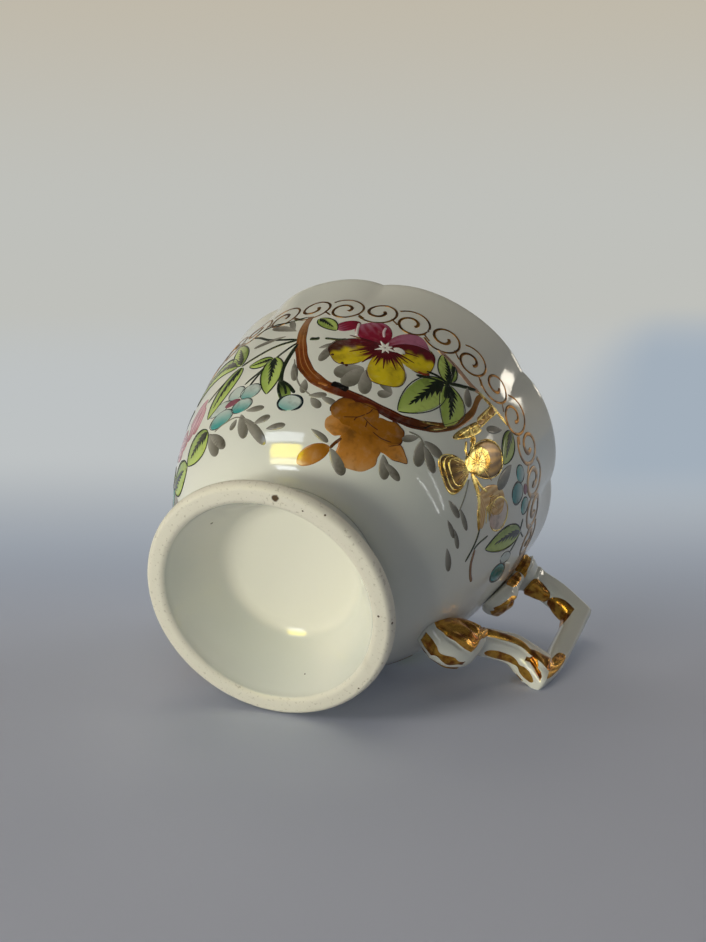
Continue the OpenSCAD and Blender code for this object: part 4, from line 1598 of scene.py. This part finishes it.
# %% Amber flower
AMBER = tone("#965e0a")
AMBER_DEEP = tone("#5c3208")
AMBER_PALE = tone("#c08034")
AMBER_TIP = tone("#cb9c68")
AMBER_EYE_COAT = 0.052


def amber_petal(t, w):
    return blend(blend(AMBER, AMBER_DEEP, (t - 0.74) * 2.4 + 0.12 * np.sin(w * 9)), AMBER_DEEP, 0.42 - t)


def pale_amber_petal(t, w):
    return blend(blend(AMBER, AMBER_PALE, t * 1.8 - 0.3), AMBER_TIP, (t - 0.72) * 2.6 + 0.14 * np.sin(w * 7))


amber = Paint("painted_amber_flower", ENAMEL, "enamel")
petal(amber, (-105.4, 10.4), (-117.4, 5.2), 2.1, pale_amber_petal, COAT, low=0.6, high=0.6)
petal(amber, (-96.5, 17.6), (-111.2, 15), 2.9, pale_amber_petal, COAT, low=0.5, high=0.4, wave=0.07)
petal(amber, (-97.5, 18), (-92.6, 8.2), 4.7, pale_amber_petal, COAT, low=0.5, high=0.36, wave=0.04)
pointed = petal(amber, (-97, 17.2), (-77, 17), 2.4, pale_amber_petal, COAT, low=0.55, high=0.75, wave=0.08)
topped = [petal(amber, (-97.5, 17.4), (-110.8, 20.8), 3.2, amber_petal, COAT, low=0.5, high=0.3, wave=0.06),
          petal(amber, (-98, 16.6), (-102.5, 22.9), 3.8, amber_petal, COAT, low=0.5, high=0.3),
          petal(amber, (-99.5, 18), (-83.8, 20.6), 2.9, amber_petal, COAT, low=0.5, high=0.3, wave=0.06)]
amber.touch(oval((-98, 17.6), 3.4, 2.2)[0], AMBER_EYE_COAT, AMBER)
edge_line(amber, topped[0], 0.4, BROWN_LINE, DETAIL, 0.75)
edge_line(amber, topped[2], 0.45, BROWN_LINE, DETAIL, 0.6)
edge_line(amber, pointed, 0.25, AMBER_DEEP, DETAIL, 0.6)
AMBER_LINES = [[(-106, 17.8), (-103, 18.6), (-101, 19.3), (-99.3, 20.6)],
               [(-99.3, 20.6), (-98.4, 21.6), (-98.2, 22.6)], [(-99.6, 19.8), (-96, 18.9), (-92.5, 18.7)],
               [(-101, 19.3), (-101.6, 18.8), (-101.8, 18)], [(-97.6, 19.2), (-97.2, 18.5), (-97, 17.8)],
               [(-94, 17.7), (-90, 17.5), (-86, 18.2)]]
for stops in AMBER_LINES:
    amber.touch(line(stops, 0.36), OVER, BROWN_LINE)
amber.touch(line([(-105.2, 10.2), (-104.2, 11.6), (-102.6, 13.2)], 0.8), OVER, AMBER_DEEP)
amber.finish()

# %% Forget-me-nots
TEAL = tone("#3f9c98")
TEAL_DEEP = tone("#0f8082")
TEAL_PALE = tone("#c8d2cb")
TEAL_LINE = tone("#16262a")
MAUVE = tone("#8f5562")


def teal_petal(paint, places, share, across, deep, depth, outline):
    """Pale at the top, with the colour run down to its lower edge."""
    paint.touch(places, COAT, blend(TEAL_PALE, deep, depth - 1.1 * share - 0.25 * across))
    edge_line(paint, places, outline, TEAL_LINE, OVER, 0.0)


TEAL_PETALS = [((-158.5, 23), 3.4, 1.6, TEAL, 0.1, 0.2), ((-151.2, 25.2), 2.3, 2.0, TEAL, 0.4, 0.3),
               ((-144.8, 24), 2.7, 2.2, TEAL, 0.8, 0.3), ((-157.3, 19.4), 3.6, 2.2, TEAL, 1.2, 0.34),
               ((-147.5, 20.4), 2.8, 1.9, TEAL, 1.1, 0.34), ((-127, 18.8), 2.8, 2.1, TEAL, 0.8, 0.85),
               ((-45.4, 46.8), 2.1, 1.9, TEAL, 1.1, 0.28), ((-34.4, 47), 2.1, 2.0, TEAL, 1.1, 0.28),
               ((-40.7, 43.8), 2.5, 2.8, TEAL_DEEP, 1.3, 0.6)]
forget = Paint("painted_forget_me_nots", ENAMEL, "enamel")
for centre, wide, high, deep, depth, outline in TEAL_PETALS:
    teal_petal(forget, *oval(centre, wide, high), deep, depth, outline)
teal_petal(forget, *blade((-22.6, 36), (-19.6, 41.4), 1.5, 0, 0.5, 0.5, 16, 11), TEAL, 0.1, 0.26)
teal_petal(forget, *blade((-19, 32.8), (-13.6, 40.4), 2.5, 0, 0.55, 0.55, 16, 11), TEAL_DEEP, 1.7, 0.6)
for centre, wide, high in [((-152.4, 22.5), 2.4, 0.9), ((-39.4, 48.1), 1.4, 1.0)]:
    forget.touch(oval(centre, wide, high)[0], TOP, MAUVE)
forget.finish()


# %% Buds
def rose_petal(t, w):
    return blend(blend(PINK, tone("#e0b2b6"), 0.5 + 0.5 * np.sin(w * 8)), CRIMSON, (t - 0.6) * 1.8)


def calyx(t, w):
    return blend(LEAF_DARK, LEAF_GREEN, t * 1.4 - 0.3)


SEPALS = [[(-133.8, 25.2), (-133, 22.6), (-130.8, 19.8)], [(-133.4, 25.4), (-129.6, 23.6), (-126.4, 21.4)],
          [(-133, 25), (-130.8, 23), (-129.4, 21)]]
ROSE_PETALS = [((-168, 31.8), (-178.6, 28.6), 2.3), ((-169, 31), (-179.6, 24), 2.6),
               ((-168.4, 29), (-174.4, 23), 1.7)]
buds = Paint("painted_buds", ENAMEL, "enamel")
petal(buds, (-133.4, 25), (-129, 19.8), 1.5, calyx, COAT)
for stops in SEPALS:
    buds.touch(line(stops, 1.0), OVER, LEAF_DARK)
for base, tip, half in ROSE_PETALS:
    petal(buds, base, tip, half, rose_petal, COAT, low=0.6, high=0.5)
buds.finish()

# %% Gilt branch
BRANCH = [(-133.8, 50.5), (-134, 46), (-132.7, 40.5), (-130.6, 35.5), (-127, 30), (-122, 26.4),
          (-116, 24.4), (-108, 23.7), (-99, 23.5), (-91, 23.9), (-85.6, 25), (-80, 27.4), (-75.4, 31),
          (-72.8, 35.6), (-72, 40.5), (-73.2, 45), (-72.8, 47.6)]
BRANCH_WIDTHS = [1.4, 2.1, 2.5, 2.9, 3.2, 3.2, 3.0, 2.7, 2.6, 2.6, 2.7, 2.7, 2.3, 1.9, 1.6, 1.4, 1.2]
BRANCH_TONES = ["#d0a58a", "#c08a58", "#ad6a2c", "#9a4e14", "#8f460e", "#9e540f", "#7d3a0c", "#6a240b",
                "#6a240b", "#63240c", "#5c280e", "#6b3a10", "#84501c", "#8e5a22", "#9c682c", "#aa7536",
                "#b58242"]
BRANCH_ROWS = 150
BRANCH_COLUMNS = 13
BAND_ROWS = 40
BRANCH_STREAKS = [(4, 8, 52, 0.3, "#d69a58"), (8, 14, 46, 0.24, "#cf8c44"), (6, 20, 60, 0.2, "#7a3a0c"),
                  (10, 24, 58, 0.3, "#6a300a"), (3, 62, 96, 0.26, "#8d4a1c"), (9, 66, 118, 0.34, "#331204"),
                  (6, 98, 122, 0.3, "#a2713a"), (3, 104, 126, 0.24, "#2c1808")]
branch = Paint("gilt_branch", LUSTRE, "gilding")
stop_shares = np.linspace(0, 1, len(BRANCH))
row_shares = np.linspace(0, 1, BRANCH_ROWS)
ripple = 1 + 0.05 * np.sin(np.arange(BRANCH_ROWS) * 0.55)
half = np.interp(row_shares, stop_shares, BRANCH_WIDTHS) / 2 * ripple
places = spread(sample_path(BRANCH, BRANCH_ROWS), half, half, BRANCH_COLUMNS)
tones = np.array([tone(code)[:3] for code in BRANCH_TONES])
ground = np.stack([np.interp(row_shares, stop_shares, tones[:, k]) for k in range(3)], -1)[:, None, :]
across = np.linspace(-1, 1, BRANCH_COLUMNS)[None, :]
rim = 0.5 * np.abs(across) ** 4 + 0.14 * np.sin(across * 13 + 9 * row_shares[:, None])
branch.touch(places, COAT, blend(ground * np.ones((BRANCH_ROWS, BRANCH_COLUMNS, 1)), tone("#2c1205"), rim))
for column, first, last, width, code in BRANCH_STREAKS:
    streak = places[first:last, column]
    half = width / 2 * taper(np.linspace(0, 1, len(streak)), 0.3)
    stroke(branch, streak, half, DETAIL, tone(code))
branch.touch(line([(-115.2, 25.3), (-112, 25.1), (-108.8, 24.6)], 2.2), DETAIL, tone("#150f08"))
branch.touch(line([(-119.6, 25), (-117.8, 24.8), (-116, 24.5)], 1.1), DETAIL, tone("#c0762a"))
for stops in [[(-80.8, 26), (-79.6, 27.8), (-78.4, 29.4)], [(-77.8, 27.6), (-76.8, 29.2), (-75.6, 30.4)]]:
    branch.touch(line(stops, 0.6), DETAIL, tone("#1c1006"))
band = line([(-92.4, 49.3), (-84, 47.7), (-78.3, 46.7), (-74, 46.9)], 1.5, BAND_ROWS, 7)
deeper = row_shares[:BAND_ROWS, None] * 2.4 + 0 * band[..., 0]
branch.touch(band, COAT, blend(tone("#d3ad98"), tone("#b98748"), deeper))
branch.touch(line([(-68.4, 39.8), (-68, 44), (-67.4, 47.8)], 2.3), COAT, tone("#b58a4a"))
branch.finish()

# %% Gilt flowers and twigs
GOLD_TONE = tone("#e6bb5c")
FAN_ROOT = (-60.2, 29.8)
FLOWER_EYE = (-59.6, 32.6)
TWIGS = [([(-78, 46.8), (-74.4, 46.9), (-67.8, 47.8), (-60.3, 49)], 1.1),
         ([(-71.2, 30.4), (-70, 35.3), (-68.3, 40)], 1.2),
         ([(-71, 30.6), (-67.8, 35.2), (-66.2, 39.6)], 1.1),
         ([(-70.2, 36.6), (-67.4, 35.6), (-65.6, 34.2)], 0.8),
         ([(-69.6, 38), (-67.6, 36.6), (-66.2, 36)], 0.6), ([(-66.6, 36.4), (-64, 33.2), (-61.2, 31)], 1.5),
         ([(-67.4, 33.2), (-65.2, 31.4), (-62.2, 30.6)], 0.7),
         ([(-69, 40), (-68.8, 44), (-68.8, 47.6)], 0.5), ([(-66.9, 39.6), (-66.6, 44), (-66, 47.8)], 0.5),
         ([(-69, 41), (-68, 42), (-66.7, 43.4)], 0.4), ([(-68.9, 44.6), (-68, 43.6), (-66.9, 42)], 0.4),
         ([(-68.9, 45.4), (-67.6, 44.6), (-66.5, 45.6)], 0.4),
         ([(-58.4, 29.6), (-54, 29.2), (-50, 29)], 1.4),
         ([(-52, 29), (-48, 28.2), (-44.5, 27), (-39.4, 26.2)], 1.1),
         ([(-57, 29.8), (-52.4, 30.6), (-49.4, 32)], 0.8), ([(-82.6, 27.2), (-80, 28.4), (-77.4, 30)], 0.6),
         ([(-79, 27), (-76.8, 28.9), (-75, 31.2)], 0.5)]
gilt = Paint("gilt_flowers_and_twigs", BRIGHT_GOLD, "gilding")
gilt.touch(blade((-71.2, 30.6), (-67.2, 39.8), 1.2, 0, 0.5, 0.5)[0], DETAIL, GOLD_TONE)
for stops, width in TWIGS:
    gilt.touch(line(stops, width, 36, 7), OVER, GOLD_TONE)
for share in (1.0, 0.86, 0.7):
    fan_tip = (FAN_ROOT[0] - 4.4 * share, FAN_ROOT[1] - 8 * share)
    fan = blade(FAN_ROOT, fan_tip, 4.3 * share, 0, 0.9, 0.34, 24, 13)[0]
    edge_line(gilt, fan, 0.6, GOLD_TONE, TOP, 0.2)
rays(gilt, FAN_ROOT, 216, 284, 7, 0.2, 6.8, 0.55, GOLD_TONE, OVER)
bloom = blade((-61.4, 28.8), (-58.4, 37.4), 3.2, 0, 0.5, 0.4, 20, 13, 0.05)[0]
gilt.touch(bloom, OVER, GOLD_TONE)
for turn in (20, 65, 110, 155):
    rays(gilt, FLOWER_EYE, turn, turn + 180, 2, 0.2, 3.0, 0.6, GOLD_TONE, CREST)
rays(gilt, FLOWER_EYE, 20, 112, 8, 2.6, 6.0, 0.4, GOLD_TONE, TOP)
edge_line(gilt, blade((-61, 30), (-55.4, 41.6), 4.2, 0, 0.5, 0.42, 24, 13)[0], 0.45, GOLD_TONE, CREST, 0.1)
peach_ring = oval((-39.9, 34.3), 3.7, 4.0)
edge_line(gilt, peach_ring[0], 0.5, GOLD_TONE, OVER, 0.0)
rays(gilt, (-47.6, 30.8), -20, 88, 10, 1.4, 5.4, 0.36, GOLD_TONE, TOP)
gilt.finish()


# %% Lustre flowers and blush
def peach_petal(t, w):
    return blend(tone("#c08f52"), tone("#e6c48e"), 0.5 + 0.5 * np.sin(t * 21 + w * 11))


def fan_petal(t, w):
    return blend(tone("#6f5330"), tone("#b48c48"), 0.5 + 0.5 * np.sin(w * 12) - 0.3 * t)


lustre_flowers = Paint("lustre_flowers", LUSTRE, "gilding")
petal(lustre_flowers, FAN_ROOT, (-64.6, 21.8), 4.3, fan_petal, THIN_COAT, low=0.9, high=0.34)
petal(lustre_flowers, (-61, 30), (-55.4, 41.6), 4.2, fan_petal, THIN_COAT, low=0.5, high=0.42)
petal(lustre_flowers, (-50.6, 29.2), (-41.6, 37), 3.4, peach_petal, COAT, low=0.55, high=0.35)
petal(lustre_flowers, (-50.4, 29.4), (-39.6, 27.2), 1.5, peach_petal, COAT, low=0.5, high=0.6)
rays(lustre_flowers, FLOWER_EYE, 30, 150, 9, 1.0, 4.6, 0.34, tone("#5a3c14"), HIGHEST)
rays(lustre_flowers, FLOWER_EYE, 205, 335, 7, 0.8, 3.2, 0.3, tone("#5a3c14"), HIGHEST)
lustre_flowers.finish()
blush = Paint("painted_blush", ENAMEL, "enamel")
places, share, across = peach_ring
blush.touch(places, BLUSH_COAT, blend(tone("#d0b6a8"), tone("#e2d8cf"), share))
blush.finish()

# %% [markdown]
# ## The running border
# Under the lip a line of spirals runs round the cup, drawn with a fine brush, every second one upside down.
# Each could be a touch of the brush as before, but they repeat, so Geometry Nodes draw one spiral with its
# tick, set it along a straight strip with a little unsteadiness, and roll the strip round the bowl: a ray
# from outside finds the wall under each point. Towards the handle the brush carries more gold, so the line
# is broader there.

# %% Border tool
SPIRALS = 34
SPIRAL_POINTS = 28
SPIRAL_SIZES = (0.95, 1.04)
TICK_FROM = (0.0035, -0.0017, 0)
TICK_TO = (0.0055, -0.0034, 0)
TICK_WIDTH = 0.7
NIB_SIDES = 8
LINE_RISE = 0.3


def random_number(tree, low, high, index, seed):
    """A Random Value node's number for each index."""
    return add(tree, "FunctionNodeRandomValue", {2: low, 3: high, "ID": index, "Seed": seed},
               data_type="FLOAT").outputs[1]


def border_tree():
    tree, given, out = new_tree("Running scroll border", "GeometryNodeTree", [
        ("Start", "shape", None), ("Bowl", "object", None), ("Spirals", "count", SPIRALS),
        ("Turns", "number", 1.48), ("Inner Radius", "number", 0.0012), ("Outer Radius", "number", 0.0058),
        ("Squeeze", "number", 0.88), ("Spiral Start", "number", 0.6), ("Line Width", "number", 0.0007),
        ("Strip Radius", "number", 0.044), ("Strip Height", "number", 0.06), ("Start Angle", "number", 0.0),
        ("Flip Rise", "number", 0.001), ("Handle Load", "number", 1.0), ("Unsteadiness", "number", 0.1),
        ("Seed", "count", 7), ("Finish", "material", None)], [("Border", "shape")])
    spiral = shape(tree, "CurveSpiral", {
        "Resolution": SPIRAL_POINTS, "Rotations": given["Turns"], "Start Radius": given["Inner Radius"],
        "End Radius": given["Outer Radius"], "Height": 0.0})
    to_end = calc(tree, "SUBTRACT", 1.0, shape(tree, "SplineParameter"))
    thick = calc(tree, "MULTIPLY_ADD", calc(tree, "POWER", to_end, 2.0), 0.45, 0.8)
    inked = shape(tree, "SetCurveRadius", {"Curve": spiral, "Radius": thick})
    start_turn = xyz(tree, Z=given["Spiral Start"])
    turned = shape(tree, "Transform", {"Geometry": inked, "Rotation": start_turn})
    narrow = xyz(tree, X=given["Squeeze"], Y=1.0, Z=1.0)
    squeezed = shape(tree, "Transform", {"Geometry": turned, "Scale": narrow})
    tick = shape(tree, "CurvePrimitiveLine", {"Start": TICK_FROM, "End": TICK_TO})
    tick = shape(tree, "SetCurveRadius", {"Curve": tick, "Radius": TICK_WIDTH})
    points = shape(tree, "MeshLine", {"Count": given["Spirals"]})
    index = shape(tree, "InputIndex")
    step = calc(tree, "DIVIDE", calc(tree, "MULTIPLY", given["Strip Radius"], math.tau), given["Spirals"])
    odd = calc(tree, "MODULO", index, 2.0)
    spot_at = xyz(tree, X=calc(tree, "MULTIPLY", index, step),
                  Y=calc(tree, "MULTIPLY", odd, given["Flip Rise"]))
    set_out = shape(tree, "SetPosition", {"Geometry": points, "Position": spot_at})
    least = calc(tree, "MULTIPLY", given["Unsteadiness"], -1.0)
    sway = random_number(tree, least, given["Unsteadiness"], index, given["Seed"])
    size = random_number(tree, *SPIRAL_SIZES, index, given["Seed"])
    flip = calc(tree, "MULTIPLY", size, calc(tree, "MULTIPLY_ADD", odd, 2.0, -1.0))
    scale = xyz(tree, X=size, Y=flip, Z=size)
    swung = add(tree, "FunctionNodeEulerToRotation", {0: xyz(tree, Z=sway)}).outputs[0]
    spirals = shape(tree, "InstanceOnPoints", {"Points": set_out, "Instance": squeezed, "Rotation": swung,
                                               "Scale": scale})
    ticks = shape(tree, "InstanceOnPoints", {"Points": set_out, "Instance": tick, "Rotation": swung})
    row = add(tree, "GeometryNodeJoinGeometry")
    tree.links.new(spirals, row.inputs[0])
    tree.links.new(ticks, row.inputs[0])
    drawn = shape(tree, "RealizeInstances", {"Geometry": row.outputs[0]})
    nib_radius = calc(tree, "MULTIPLY", given["Line Width"], 0.5)
    nib = shape(tree, "CurvePrimitiveCircle", {"Resolution": NIB_SIDES, "Radius": nib_radius})
    flat = add(tree, "ShaderNodeSeparateXYZ", {0: shape(tree, "InputPosition")}).outputs
    angle = calc(tree, "ADD", calc(tree, "DIVIDE", flat["X"], given["Strip Radius"]), given["Start Angle"])
    cosine, sine = calc(tree, "COSINE", angle), calc(tree, "SINE", angle)
    load = calc(tree, "MULTIPLY_ADD", fade(tree, cosine, 0.45, 0.85), given["Handle Load"], 1.0)
    swell = calc(tree, "MULTIPLY", shape(tree, "InputRadius"), load)
    tube = shape(tree, "CurveToMesh", {"Curve": drawn, "Profile Curve": nib, "Scale": swell,
                                       "Fill Caps": True})
    height = calc(tree, "ADD", flat["Y"], given["Strip Height"])
    outside = calc(tree, "MULTIPLY", given["Strip Radius"], 2.0)
    source = xyz(tree, X=calc(tree, "MULTIPLY", cosine, outside),
                 Y=calc(tree, "MULTIPLY", sine, outside), Z=height)
    inwards = xyz(tree, X=calc(tree, "MULTIPLY", cosine, -1.0), Y=calc(tree, "MULTIPLY", sine, -1.0))
    wall = add(tree, "GeometryNodeObjectInfo", {"Object": given["Bowl"]}).outputs["Geometry"]
    ray = add(tree, "GeometryNodeRaycast", {"Target Geometry": wall, "Source Position": source,
                                            "Ray Direction": inwards, "Ray Length": 1.0}).outputs
    rise = calc(tree, "MULTIPLY", flat["Z"], LINE_RISE)
    lifted = add(tree, "ShaderNodeVectorMath", {0: ray["Hit Normal"], "Scale": rise}, operation="SCALE")
    laid = calc_vector(tree, "ADD", ray["Hit Position"], lifted.outputs[0])
    wrapped = shape(tree, "SetPosition", {"Geometry": tube, "Position": laid})
    finish_tree(tree, wrapped, given["Finish"], out)
    return tree


BORDER = border_tree()
print("border tool has", len(BORDER.nodes), "nodes")

# %% Border
SPIRAL_ANGLE = -102.9
BORDER_S = 53.4
border = apply_tree(new_piece("gilt_scroll_border", [(0, 0, 0)], []), BORDER, {
    "Bowl": bowl, "Spirals": SPIRALS, "Strip Radius": float(wall_radius(BORDER_S)) * MM,
    "Strip Height": float(wall_height(BORDER_S)) * MM, "Start Angle": math.radians(SPIRAL_ANGLE),
    "Finish": LINE_GOLD})
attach(border, "root")
print("border:", len(border.data.polygons), "faces")
